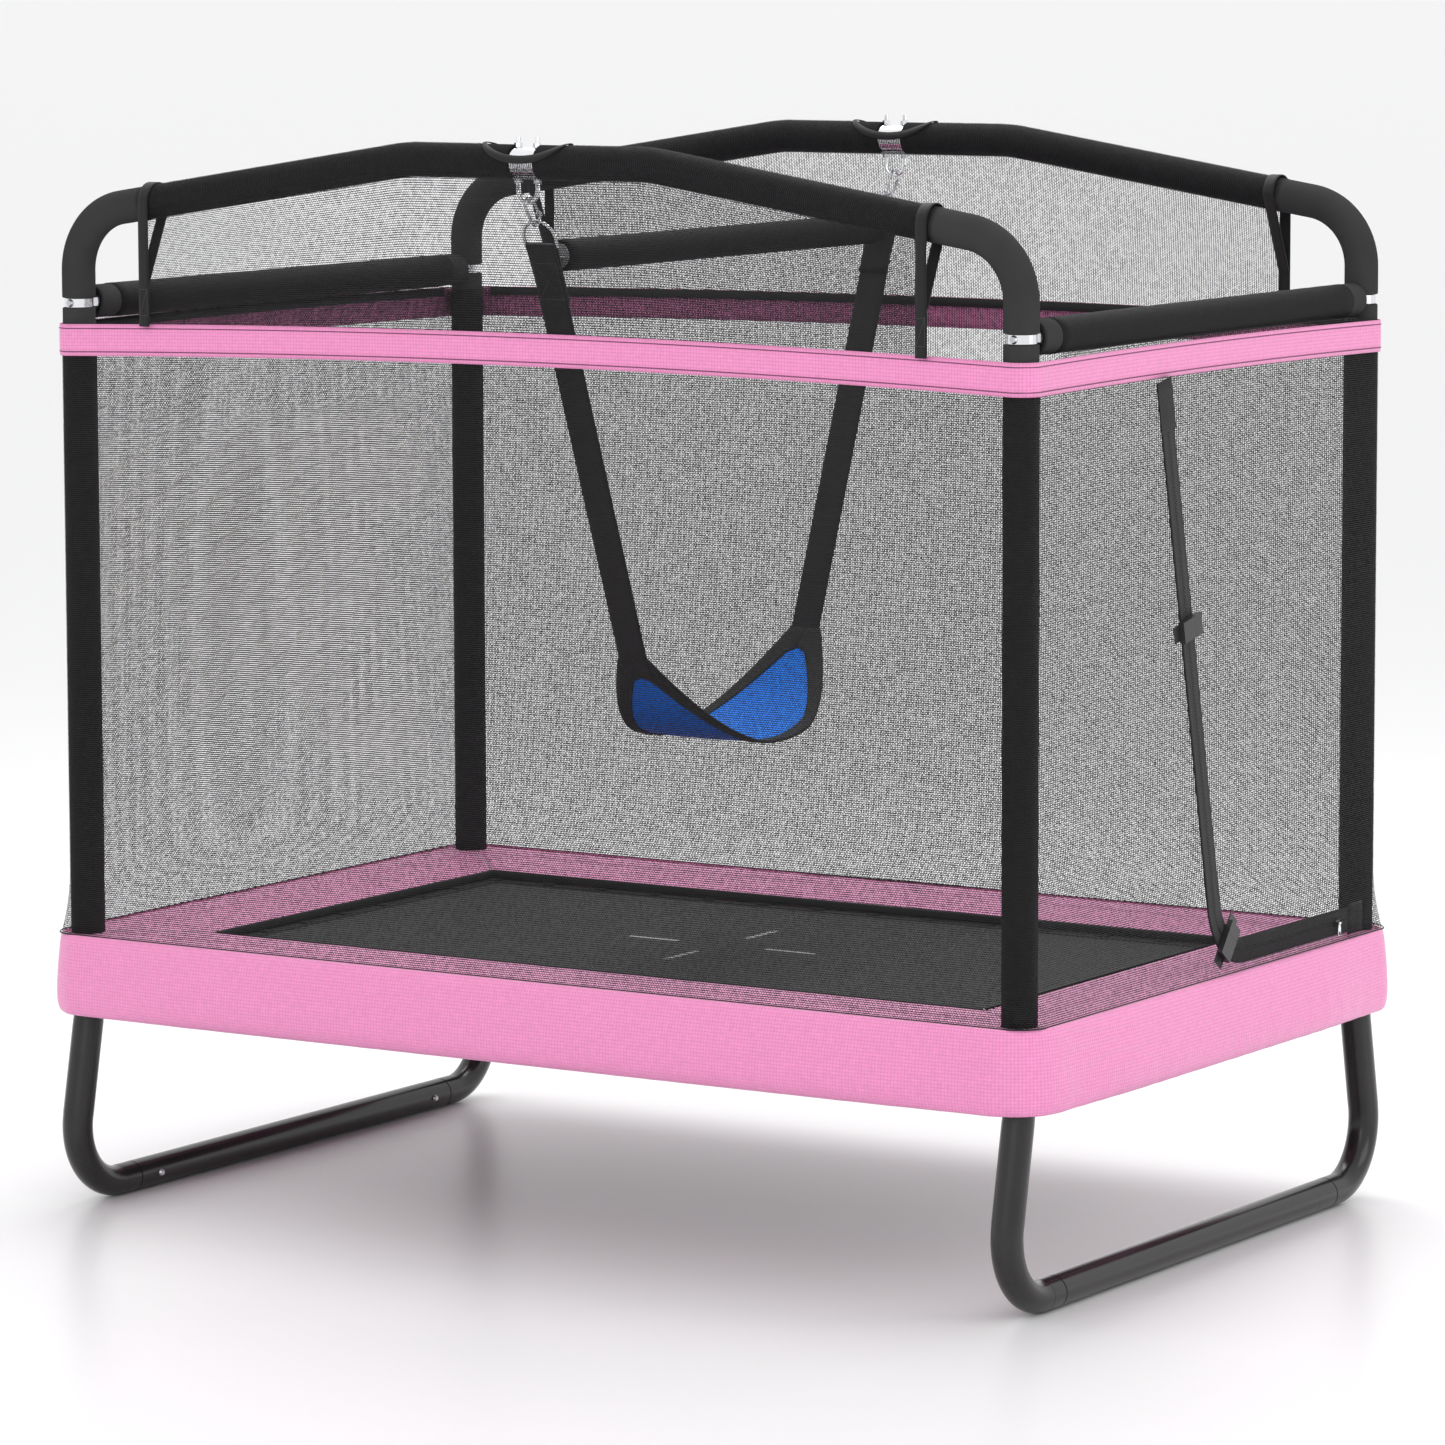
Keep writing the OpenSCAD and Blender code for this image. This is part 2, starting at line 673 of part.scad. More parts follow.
module hanger_bolts() {
    color("#cfd2d6") for (sy = PAIR) translate([0, sy * py, 0]) {
        for (s = PAIR) translate([s * ubolt_span / 2, 0, u_c_z])
            cylinder(d = ubolt_rod, h = u_top_z - u_c_z);
        translate([0, 0, u_c_z]) rotate([90, 0, 0]) rotate([0, 0, 180])
            rotate_extrude(angle = 180) translate([ubolt_span / 2, 0]) circle(d = ubolt_rod);
    }
}

module hanger_nuts() {
    plate_z = arch_z - saddle_d / 2 - fit_gap - hanger_plate_t;
    color("#e2e4e6") for (sy = PAIR) translate([0, sy * py, 0]) {
        for (s = PAIR) translate([s * ubolt_span / 2, 0, 0]) {
            translate([0, 0, arch_z + saddle_d / 2 + fit_gap]) hanger_nut();
            translate([0, 0, plate_z - fit_gap - hanger_nut_h]) hanger_nut();
        }
        difference() {
            translate([-saddle_l / 2, -hanger_plate_w / 2, plate_z])
                cube([saddle_l, hanger_plate_w, hanger_plate_t]);
            for (s = PAIR) translate([s * ubolt_span / 2, 0, plate_z - over])
                cylinder(d = ubolt_rod + 2 * fit_gap, h = hanger_plate_t + 2 * over);
        }
    }
}

module hanger_nut() {
    difference() {
        rotate([0, 0, 30]) cylinder(d = hanger_nut_d, h = hanger_nut_h, $fn = 6);
        translate([0, 0, -over]) cylinder(d = ubolt_rod + 2 * fit_gap, h = hanger_nut_h + 2 * over);
    }
}

// ---- Pad, skirt, bands, nets and straps ----

module rounded_plan(half_x, half_y, r) {
    square([2 * (half_x - r), 2 * half_y], center = true);
    square([2 * half_x, 2 * (half_y - r)], center = true);
    for (c = CORNERS) translate([c[0] * (half_x - r), c[1] * (half_y - r)]) circle(r = r);
}

// One mitred side of the padded cover
module pad_side(side, post_half) {
    long_side = side == "front" || side == "rear";
    inner = post_half - pad_in;
    outer = post_half + pad_out;
    color("#f06fb0") on_side(side) difference() {
        intersection() {
            translate([-outer, 0, 0]) rotate([90, 0, 90]) linear_extrude(2 * outer)
                polygon([for (p = PAD_SECTION) [-p[0], p[1]]]);
            linear_extrude(pad_top + over) polygon([[-inner + mitre_gap, pad_in],
                [inner - mitre_gap, pad_in], [outer - mitre_gap, -pad_out], [-outer + mitre_gap, -pad_out]]);
            translate([0, long_side ? py : px, 0]) rotate([0, 0, long_side ? 0 : 90])
                linear_extrude(pad_top + over)
                    rounded_plan(px + pad_out, py + pad_out, pad_out + corner_inset);
        }
        for (s = PAIR) translate([s * post_half, 0, 0]) cylinder(d = post_hole_d, h = pad_top + over);
    }
}

module skirt_run(side, half) {
    on_side(side) translate([-half, 0, 0]) rotate([90, 0, 90]) linear_extrude(2 * half)
        polygon([for (p = SKIRT_SECTION) [-p[0], p[1]]]);
}

// Turn of a quarter round made in the +X +Y corner, to any corner
function corner_turn(c) = c[0] > 0 ? (c[1] > 0 ? 0 : 270) : (c[1] > 0 ? 90 : 180);

module skirt_corner(c) {
    translate([c[0] * corner_x, c[1] * corner_y, 0]) rotate([0, 0, corner_turn(c)])
        rotate_extrude(angle = 90) polygon([for (p = SKIRT_SECTION) [p[0] + corner_inset, p[1]]]);
}

module skirt_long_sides() {
    color("#ff86c4") {
        skirt_run("front", corner_x);
        skirt_run("rear", corner_x);
        for (c = CORNERS) skirt_corner(c);
    }
}

module skirt_short_sides() {
    color("#ff86c4") {
        skirt_run("left", corner_y - fit_gap);
        skirt_run("right", corner_y - fit_gap);
    }
}

module colour_band() {
    color("#ff86c4") {
        for (side = ["front", "rear"]) on_side(side)
            translate([-px, -band_off - band_t, band_z]) cube([2 * px, band_t, band_h]);
        for (side = ["left", "right"]) on_side(side)
            translate([-py, -band_off - band_t, band_z]) cube([2 * py, band_t, band_h]);
        for (c = CORNERS) translate([c[0] * px, c[1] * py, band_z]) rotate([0, 0, corner_turn(c)])
            rotate_extrude(angle = 90) translate([band_off, 0]) square([band_t, band_h]);
    }
}

// Rows of gaps between two heights, with a strand of net between neighbours
module net_gaps(half, low, high, columns, rows) {
    w = 2 * half / columns;
    h = (high - low) / rows;
    for (i = [0 : columns - 1], j = [0 : rows - 1])
        translate([-half + i * w + net_strand / 2, low + j * h + net_strand / 2])
            square([w - net_strand, h - net_strand]);
}

// One row of gaps between the band and the arch, each as high as its outer edge allows
module crown_gaps(half, columns) {
    w = 2 * half / columns;
    for (i = [0 : columns - 1]) {
        x = -half + i * w;
        low = band_top + net_strand / 2;
        high = slope_z(max(abs(x), abs(x + w))) - foam_d / 2 - net_strand / 2;
        translate([x + net_strand / 2, low]) square([w - net_strand, high - low]);
    }
}

module net_sheet(side) {
    color("#3a3a3c") on_side(side) translate([0, -net_off, 0]) rotate([90, 0, 0])
        linear_extrude(net_t) children();
}

module net_long(side) {
    edge = net_crown_x;
    net_sheet(side) difference() {
        polygon([[-px, net_bottom], [px, net_bottom], [px, band_top], [edge, band_top],
            [edge, slope_z(edge)], [arch_flat, arch_z], [-arch_flat, arch_z], [-edge, slope_z(edge)],
            [-edge, band_top], [-px, band_top]]);
        net_gaps(px - net_rim, net_bottom + net_rim, band_z, 14, 8);
        crown_gaps(edge - net_rim, 12);
    }
}

module net_short(side) {
    net_sheet(side) difference() {
        polygon([[-py, net_bottom], [py, net_bottom], [py, band_top], [py - rail_foam_start, band_top],
            [py - rail_foam_start, clamp_z], [-py + rail_foam_start, clamp_z],
            [-py + rail_foam_start, band_top], [-py, band_top]]);
        net_gaps(py - net_rim, net_bottom + net_door_rim, band_z, 9, 8);
    }
}

// Webbing looped over each end of an arch's net, its inner leg slanting to meet the outer one
module arch_straps() {
    top = slope_z(strap_x);
    color("#2a2a2c") for (sy = PAIR, sx = PAIR) translate([sx * strap_x, sy * py, top])
        rotate([0, 0, sy > 0 ? 180 : 0]) translate([-arch_strap_w / 2, 0, 0]) rotate([90, 0, 90])
            linear_extrude(arch_strap_w) strap_loop(top - band_top);
}

module strap_loop(drop) {
    far = band_off + arch_strap_t;
    join = drop - strap_join;
    inner_join = strap_side + (join - strap_side) * 2 * band_off / (far + band_off);
    difference() {
        polygon(concat([[-far, fit_gap - drop]], half_round(far), [[far, -strap_side],
            [-band_off, -join], [-band_off, fit_gap - drop]]));
        polygon(concat(half_round(band_off), [[band_off, -strap_side], [-band_off, -inner_join]]));
    }
}

function half_round(r) = [for (a = [180 : -7.5 : 0]) r * [cos(a), sin(a)]];

// ---- Mat, V-rings and springs ----

module mat() {
    color("#34362f") {
        translate([-mat_x, -mat_y, mat_z - mat_t]) cube([2 * mat_x, 2 * mat_y, mat_t]);
        translate([0, 0, mat_z - mat_t]) linear_extrude(mat_t + mat_border_t) difference() {
            square([2 * mat_x, 2 * mat_y], center = true);
            square([2 * (mat_x - mat_border), 2 * (mat_y - mat_border)], center = true);
        }
        for_each_spring() ring_tab();
    }
}

// Repeats a child at every spring, at the mat's edge and pointing out along +Y
module for_each_spring() {
    for (s = [0, 180]) rotate([0, 0, s]) {
        for (x = places(springs_long, mat_x)) translate([x, mat_y, spring_z]) children();
        for (y = places(springs_short, mat_y)) rotate([0, 0, -90]) translate([y, mat_x, spring_z])
            children();
    }
}

// Webbing tab that holds a V-ring's bar at the mat's edge, narrower than the ring's opening
module ring_tab() {
    bar = ring_bar + 2 * fit_gap;
    slot = ring_t + 2 * fit_gap;
    difference() {
        translate([-ring_tab_half, -ring_tab_lap, -slot / 2 - ring_tab_wall])
            cube([2 * ring_tab_half, ring_tab_lap + ring_base + bar / 2 + ring_tab_wall,
                slot + 2 * ring_tab_wall]);
        translate([-ring_tab_half - over, ring_base - bar / 2, -slot / 2])
            cube([2 * (ring_tab_half + over), bar, slot]);
    }
}

module v_rings() {
    tip = ring_base + ring_depth;
    gap = ring_half - ring_side;
    color("#c9ccd0") for_each_spring() translate([0, 0, -ring_t / 2]) linear_extrude(ring_t) difference() {
        polygon([[-ring_half, ring_base - ring_bar / 2], [ring_half, ring_base - ring_bar / 2],
            [ring_tip, tip + ring_bar / 2], [-ring_tip, tip + ring_bar / 2]]);
        polygon([[-gap, ring_base + ring_bar / 2], [gap, ring_base + ring_bar / 2],
            [ring_notch, tip - ring_bar / 2], [-ring_notch, tip - ring_bar / 2]]);
    }
}

module springs() {
    eye_y = ring_base + ring_depth;
    color("#b4b7bb") for_each_spring() {
        translate([-spring_wire / 2, eye_y, 0]) rotate([0, 90, 0]) spring_hook();
        translate([0, eye_y + spring_eye, 0])
            along_y(spring_wire - spring_draw, hook_end - eye_y - spring_eye);
        translate([0, spring_start, 0]) along_y(spring_d, spring_stop - spring_start);
        translate([0, hook_end, -hook_drop]) cylinder(d = spring_wire, h = hook_drop + spring_wire / 2);
    }
}

module spring_hook() {
    difference() {
        cylinder(r = spring_eye + spring_wire / 2, h = spring_wire);
        translate([0, 0, -over]) cylinder(r = spring_eye - spring_wire / 2, h = spring_wire + 2 * over);
    }
}

// ---- Snap hooks and strap rings ----

// Mirrors a child made at the front hanger to the rear one
module front_and_rear() {
    children();
    mirror([0, 1, 0]) children();
}

// Moves a child made with the hook hanging straight down from its upper bend at the origin
module at_hook() {
    translate([0, hook_c[0], hook_c[1]]) rotate([hook_tilt, 0, 0]) children();
}

module snap_hooks() {
    color("#d5d8dc") front_and_rear() at_hook() {
        rotate([0, 90, 0]) rotate([0, 0, 90])
            rotate_extrude(angle = 180) translate([hook_r, 0]) circle(d = hook_rod);
        translate([0, -hook_r, -hook_l]) cylinder(d = hook_rod, h = hook_l);
        translate([0, 0, -hook_l]) rotate([0, 90, 0]) rotate([0, 0, 270])
            rotate_extrude(angle = 180 - fork_cut) translate([hook_r, 0]) circle(d = hook_rod);
        hook_fork();
    }
}

// Fork at the lower end of the hook, with the gate's pin through it
module hook_fork() {
    half = gate_eye_w / 2 + fit_gap + fork_ear;
    base_z = -hook_l - gate_eye_d / 2 - fit_gap - fork_foot;
    for (s = PAIR) translate([s * (half - fork_ear / 2) - fork_ear / 2, hook_r, -hook_l]) {
        along_x(gate_eye_d, fork_ear);
        translate([0, -gate_eye_d / 2, base_z + hook_l]) cube([fork_ear, gate_eye_d, -hook_l - base_z]);
    }
    translate([-half, hook_r, -hook_l]) along_x(gate_hinge_d, 2 * half);
    translate([-half, hook_r - gate_eye_d / 2, base_z]) cube([2 * half, gate_eye_d, fork_foot]);
}

module hook_gate() {
    at_hook() translate([0, hook_r, -hook_l]) difference() {
        union() {
            translate([-gate_eye_w / 2, 0, 0]) along_x(gate_eye_d, gate_eye_w);
            cylinder(d = gate_neck_d, h = gate_eye_d / 2 + gate_neck_l);
            translate([0, 0, gate_eye_d / 2 + gate_lap]) cylinder(d = gate_rod_d, h = gate_l);
        }
        translate([-gate_eye_w, 0, 0]) along_x(gate_hinge_d + turn_play, 2 * gate_eye_w);
    }
}

module strap_rings() {
    color("#d5d8dc") front_and_rear() translate([0, dring_top[0], dring_top[1]])
        rotate([strap_lean, 0, 0]) {
            translate([0, 0, -dring_r]) rotate([90, 0, 0]) rotate_extrude(angle = 180)
                translate([dring_r, 0]) circle(d = hook_rod);
            for (s = PAIR) translate([s * dring_r, 0, -dring_drop]) {
                cylinder(d = hook_rod, h = dring_side);
                sphere(d = hook_rod);
            }
            translate([-dring_r, 0, -dring_drop]) along_x(hook_rod, 2 * dring_r);
        }
}

// ---- Swing ----

module swing_straps() {
    color("#232325") front_and_rear() translate([0, dring_bar[0], dring_bar[1]])
        rotate([strap_lean, 0, 0]) {
            translate([-strap_w / 2, 0, 0]) rotate([0, 90, 0])
                tube(2 * (loop_in + strap_t), 2 * loop_in, strap_w);
            translate([-strap_w / 2, -strap_t / 2, -strap_reach])
                cube([strap_w, strap_t, strap_reach - loop_in]);
        }
}

module spreader_bar() {
    color("#c4c6c9") translate([0, -bar_l / 2, bar_z]) rotate([-90, 0, 0]) tube(rail_d, bore_d, bar_l);
}

// Round plug in each end of the bar, with the webbing tab that ties it to its strap
module spreader_ends() {
    face = bar_strap_y - strap_t / 2 / cos(strap_lean) - bar_tab_low * tan(strap_lean) - fit_gap;
    end = bar_l / 2 + fit_gap;
    color("#a9abae") front_and_rear() translate([0, 0, bar_z]) {
        translate([0, -end - bar_cap_t, 0]) along_y(rail_d - fit_gap, bar_cap_t);
        translate([0, -end - bar_cap_t / 2, 0]) along_y(bore_d - 2 * fit_gap, bar_plug_l);
        translate([-bar_tab_w / 2, -face, -bar_tab_low])
            cube([bar_tab_w, face - end - bar_cap_t / 2, bar_tab_t]);
    }
}

module spreader_foam() {
    half = bar_l / 2 - bar_foam_inset;
    color("#303134") translate([0, -half, bar_z]) rotate([-90, 0, 0])
        tube(bar_foam_d, slip_d, 2 * half);
}

// Curved sling of a given cloth thickness, between two heights above the seat's line
module sling_shell(low, high) {
    translate([-seat_half, 0, 0]) rotate([90, 0, 90]) linear_extrude(2 * seat_half)
        polygon(concat(sling(low, seat_tip_y), back_to_front(sling(high, seat_tip_y))));
}

// Outline of the sling seen from the front, narrowed by an edge all round
module sling_front(edge) {
    low = seat_z - edge_t - over;
    shoulder = seat_z + seat_shoulder + edge / 3;
    top = seat_tip_z + seat_t + edge_t - edge * 1.5;
    translate([0, seat_tip_y + over, 0]) rotate([90, 0, 0]) linear_extrude(2 * (seat_tip_y + over))
        polygon([[edge - seat_half, low], [seat_half - edge, low], [seat_half - edge, shoulder],
            [tip_half - edge / 2, top], [edge / 2 - tip_half, top], [edge - seat_half, shoulder]]);
}

module seat_cloth() {
    color("#2353b8") intersection() {
        sling_shell(0, seat_t);
        sling_front(seat_edge);
    }
}

module seat_binding() {
    color("#232325") difference() {
        intersection() {
            sling_shell(-edge_t, seat_t + edge_t);
            sling_front(0);
        }
        sling_front(seat_edge);
    }
}

// ---- Door ----

// Places a child, drawn looking at the outside of the door with X along world Y
module on_door(off) {
    translate([px + off, 0, 0]) rotate([90, 0, 90]) children();
}

// Band of a given width along the middle of the zip
module zip_line(w) {
    far = 3 * zip_r;
    difference() {
        union() {
            translate(zip_low) rotate([0, 0, zip_lean]) translate([-w / 2, 0])
                square([w, zip_run_l + w]);
            intersection() {
                translate(zip_c) difference() {
                    circle(r = zip_r + w / 2);
                    circle(r = zip_r - w / 2);
                }
                translate(zip_c)
                    polygon([[0, 0], far * [-cos(zip_lean), -sin(zip_lean)], [-far, -far], [0, -far]]);
            }
            translate([zip_c[0], zip_z - w / 2]) square([zip_end_y - zip_c[0], w]);
        }
        translate([-py, zip_top_z]) square([2 * py, py]);
    }
}

module zip_tape() {
    color("#2d2d2f") {
        on_door(tape_off) linear_extrude(tape_t) zip_line(zip_w);
        on_door(tape_off) linear_extrude(tape_t + teeth_t) zip_line(zip_teeth_w);
    }
}

module zip_slider() {
    body_off = teeth_off + fit_gap;
    color("#d4d7da") translate([px, slider_y, zip_z]) {
        difference() {
            translate([body_off, -slider_l / 2, -slider_w / 2]) cube([slider_t, slider_l, slider_w]);
            translate([body_off - over, -slider_l, -zip_teeth_w / 2 - fit_gap])
                cube([teeth_t + over, 2 * slider_l, zip_teeth_w + 2 * fit_gap]);
        }
        for (s = PAIR) translate([body_off + slider_t - bail_sink, (s * bail_l - bail_d) / 2, -bail_w / 2])
            cube([bail_off - body_off - slider_t + bail_sink + bail_d / 2, bail_d, bail_w]);
        translate([bail_off, -bail_l / 2, 0]) along_y(bail_d, bail_l);
    }
}

module zip_pull() {
    head_l = pull_l - pull_neck_l + pull_lap;
    color("#dfe2e5") translate([px + bail_off, slider_y, zip_z]) difference() {
        union() {
            translate([0, -pull_neck_w / 2, 0]) along_y(bail_d + 2 * pull_eye_wall, pull_neck_w);
            translate([-pull_t / 2, -pull_neck_w / 2, -pull_neck_l])
                cube([pull_t, pull_neck_w, pull_neck_l]);
            translate([-pull_t / 2, -pull_w / 2, -pull_l]) cube([pull_t, pull_w, head_l]);
        }
        translate([0, -pull_neck_w, 0]) along_y(bail_d + turn_play, 2 * pull_neck_w);
        translate([-pull_t, -pull_slot_w / 2, -pull_l + pull_slot_up])
            cube([2 * pull_t, pull_slot_w, pull_slot_h]);
    }
}

// Moves a child made across the zip at the origin, with the plug's side along +Y
module at_buckle(upper) {
    turn = upper ? zip_lean : buckle_low_turn;
    y = upper ? buckle_y : zip_c[0] - zip_r * cos(turn);
    z = upper ? buckle_z : zip_c[1] - zip_r * sin(turn);
    translate([px + buckle_off, y, z]) rotate([turn, 0, 0]) children();
}

// Webbing under half a buckle, between two distances along it
module buckle_tab(low, high) {
    translate([-teeth_t - tab_sink, low, -tab_w / 2])
        cube([teeth_t + 2 * tab_sink, high - low, tab_w]);
}

module buckle_sockets() {
    color("#1c1c1e") for (upper = [true, false]) at_buckle(upper) {
        difference() {
            translate([0, -buckle_l / 2, -buckle_w / 2])
                cube([buckle_t, buckle_l / 2 + buckle_split, buckle_w]);
            translate([buckle_wall, buckle_split - tongue_l - over, -buckle_w / 2 + buckle_rim])
                cube([buckle_t - 2 * buckle_wall, tongue_l + 2 * over, buckle_w - 2 * buckle_rim]);
        }
        buckle_tab(-buckle_l / 2 - tab_l, -zip_teeth_w / 2 - tab_clear);
    }
}

module buckle_plug(upper) {
    start = buckle_split + fit_gap;
    color("#1c1c1e") at_buckle(upper) {
        translate([0, start, -buckle_w / 2]) cube([buckle_t, buckle_l / 2 - start, buckle_w]);
        for (s = [-1, 0, 1])
            translate([buckle_wall + fit_gap, start - tongue_l, s * tongue_pitch - tongue_w / 2])
                cube([buckle_t - 2 * (buckle_wall + fit_gap), tongue_l + over, tongue_w]);
        buckle_tab(start + tab_inset, buckle_l / 2 + tab_l);
    }
}

base_rail("front", px, mat_x, springs_long);  // rail_front
base_rail("rear", px, mat_x, springs_long);  // rail_rear
base_rail("left", py, mat_y, springs_short);  // rail_left
base_rail("right", py, mat_y, springs_short);  // rail_right
corner_sockets();
leg(-1, -1);  // leg_front_left
leg(1, -1);  // leg_front_right
leg(1, 1);  // leg_rear_right
leg(-1, 1);  // leg_rear_left
foot_tube(-1);  // foot_tube_left
foot_tube(1);  // foot_tube_right
frame_screws();
post(-1, -1);  // post_front_left
post(1, -1);  // post_front_right
post(1, 1);  // post_rear_right
post(-1, 1);  // post_rear_left
post_foams();
arch_corners(-1);  // arch_corners_front
arch_corners(1);  // arch_corners_rear
arch_beam(-1);  // arch_beam_front
arch_beam(1);  // arch_beam_rear
corner_foams();
beam_foams();
top_rails();
top_rail_foams();
post_clamps();
beam_saddles();
hanger_bolts();
hanger_nuts();
pad_side("front", px);  // pad_front
pad_side("rear", px);  // pad_rear
pad_side("left", py);  // pad_left
pad_side("right", py);  // pad_right
skirt_long_sides();
skirt_short_sides();
colour_band();
net_long("front");  // net_front
net_long("rear");  // net_rear
net_short("left");  // net_left
net_short("right");  // net_right
arch_straps();
mat();
v_rings();
springs();
snap_hooks();
color("#d5d8dc") hook_gate();  // hook_gate_front
color("#d5d8dc") mirror([0, 1, 0]) hook_gate();  // hook_gate_rear
strap_rings();
spreader_bar();
spreader_ends();
spreader_foam();
swing_straps();
seat_cloth();
seat_binding();
zip_tape();
zip_slider();
zip_pull();
buckle_sockets();
buckle_plug(true);  // buckle_plug_upper
buckle_plug(false);  // buckle_plug_lower
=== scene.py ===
"""Rectangular enclosed trampoline with a sling swing: the looks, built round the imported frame."""

import math

import bmesh
import bpy
import numpy as np
from mathutils import Matrix, Vector


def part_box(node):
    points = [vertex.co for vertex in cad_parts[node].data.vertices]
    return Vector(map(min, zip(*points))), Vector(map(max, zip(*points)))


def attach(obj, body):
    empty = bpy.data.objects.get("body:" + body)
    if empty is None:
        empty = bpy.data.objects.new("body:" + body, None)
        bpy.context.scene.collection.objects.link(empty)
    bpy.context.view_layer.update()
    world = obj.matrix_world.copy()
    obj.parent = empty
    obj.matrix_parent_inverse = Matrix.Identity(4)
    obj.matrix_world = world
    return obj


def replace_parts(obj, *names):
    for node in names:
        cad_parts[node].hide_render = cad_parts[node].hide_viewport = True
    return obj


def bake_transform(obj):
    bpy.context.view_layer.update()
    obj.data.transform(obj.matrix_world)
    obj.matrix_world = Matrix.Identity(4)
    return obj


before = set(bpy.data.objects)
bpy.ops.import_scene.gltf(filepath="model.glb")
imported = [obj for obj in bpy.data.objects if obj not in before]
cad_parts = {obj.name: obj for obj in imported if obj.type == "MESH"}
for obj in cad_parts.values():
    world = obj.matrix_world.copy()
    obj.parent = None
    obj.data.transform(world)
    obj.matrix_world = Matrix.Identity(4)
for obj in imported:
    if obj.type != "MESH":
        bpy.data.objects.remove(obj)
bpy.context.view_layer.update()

# --------------------
# Camera, floor and lights. A long lens from the front right corner, a white
# floor with a faint gloss, and large soft lights above and in front.


def placed(name, data):
    """A new object in the scene."""
    thing = bpy.data.objects.new(name, data)
    bpy.context.scene.collection.objects.link(thing)
    return thing


lens = bpy.data.cameras.new("camera")
lens.lens, lens.sensor_width, lens.clip_end = 165.74, 36.0, 300.0
camera = placed("camera", lens)
standpoint = (5.4931, -8.7029, 2.0515)
yaw, pitch, roll = (math.radians(a) for a in (32.249, 7.174, -0.156))
back = Vector((math.sin(yaw) * math.cos(pitch), -math.cos(yaw) * math.cos(pitch), math.sin(pitch)))
level = Vector((math.cos(yaw), math.sin(yaw), 0.0))
upward = back.cross(level)
right = level * math.cos(roll) + upward * math.sin(roll)
upright = upward * math.cos(roll) - level * math.sin(roll)
camera.matrix_world = Matrix.Translation(standpoint) @ Matrix((right, upright, back)).transposed().to_4x4()
bpy.context.scene.camera = camera
bpy.context.scene.view_settings.view_transform = "Standard"

room = bpy.data.worlds.new("room")
room.use_nodes = True
room.node_tree.nodes["Background"].inputs["Color"].default_value = (1.0, 1.0, 1.0, 1.0)
room.node_tree.nodes["Background"].inputs["Strength"].default_value = 1.0
bpy.context.scene.world = room

floor_mesh = bpy.data.meshes.new("floor")
wide = 150
floor_mesh.from_pydata([(-wide, -wide, 0), (wide, -wide, 0), (wide, wide, 0), (-wide, wide, 0)], [], [(0, 1, 2, 3)])
floor_paint = bpy.data.materials.new("floor_paint")
floor_paint.use_nodes = True
floor_shader = floor_paint.node_tree.nodes["Principled BSDF"]
floor_shader.inputs["Base Color"].default_value = (0.86, 0.86, 0.87, 1.0)
floor_shader.inputs["Roughness"].default_value = 0.32
floor_mesh.materials.append(floor_paint)
placed("floor", floor_mesh)


def soft_light(name, place, aim, size, watts):
    lamp = bpy.data.lights.new(name, "AREA")
    lamp.shape, lamp.size, lamp.energy = "SQUARE", size, watts
    place, aim = Vector(place), Vector(aim)
    turn = (place - aim).to_track_quat("Z", "Y").to_matrix().to_4x4()
    placed(name, lamp).matrix_world = Matrix.Translation(place) @ turn


soft_light("overhead", (-0.6, 1.6, 4.6), (0.0, 0.0, 0.5), 3.2, 125)
soft_light("front_fill", (1.5, -5.5, 3.4), (0.0, 0.0, 0.8), 4.0, 66)
soft_light("side_fill", (5.5, 0.8, 2.6), (0.0, 0.0, 0.8), 3.0, 50)

# --------------------
# Steel frame: legs, feet, base rails and corner sockets of bent steel tube,
# powder coated satin black. The posts, arches and top rails have the same coat.


def feed(tree, value, socket):
    """Links an output to a socket, or sets the socket to a plain value."""
    if isinstance(value, bpy.types.NodeSocket):
        tree.links.new(value, socket)
    else:
        socket.default_value = value


def part(tree, kind, settings=None, out=0, **inputs):
    """A new node, of the tree's own kind unless its name says Node, with its settings, and its
    inputs fed by their names. Gives one of its outputs, or all of them for None."""
    node = tree.nodes.new(kind if "Node" in kind else tree.bl_idname[:-4] + kind)
    for name, value in (settings or {}).items():
        setattr(node, name, value)
    for label, value in inputs.items():
        feed(tree, value, node.inputs[label.replace("_", " ")])
    return node.outputs if out is None else node.outputs[out]


def calc(tree, operation, *values):
    node = tree.nodes.new("ShaderNodeMath")
    node.operation = operation
    for socket, value in zip(node.inputs, values):
        feed(tree, value, socket)
    return node.outputs[0]


def effect(name, inputs, outputs, kind="Shader"):
    """An empty group of nodes with named inputs and outputs."""
    tree = bpy.data.node_groups.new(name, kind + "NodeTree")
    for way, sockets in (("INPUT", inputs), ("OUTPUT", outputs)):
        for label, form, *value in sockets:
            socket = tree.interface.new_socket(label, in_out=way, socket_type="NodeSocket" + form)
            if value:
                socket.default_value = value[0]
    return tree, tree.nodes.new("NodeGroupInput").outputs, tree.nodes.new("NodeGroupOutput").inputs


def speckle(tree, scale, detail=2.0):
    """Noise over the surface, the same for a piece wherever it is seen from."""
    return part(tree, "TexNoise", out="Fac", Vector=part(tree, "TexCoord", out="Object"), Scale=scale,
                Detail=detail)


grain, grain_in, grain_out = effect("grain", [("Scale", "Float", 300.0), ("Patch Scale", "Float", 9.0)],
                                    [("Height", "Float"), ("Patches", "Float")])
feed(grain, speckle(grain, grain_in["Scale"]), grain_out["Height"])
patches = calc(grain, "MULTIPLY_ADD", speckle(grain, grain_in["Patch Scale"], 3.0), 2.2, -0.6)
feed(grain, calc(grain, "MINIMUM", calc(grain, "MAXIMUM", patches, 0.0), 1.0), grain_out["Patches"])


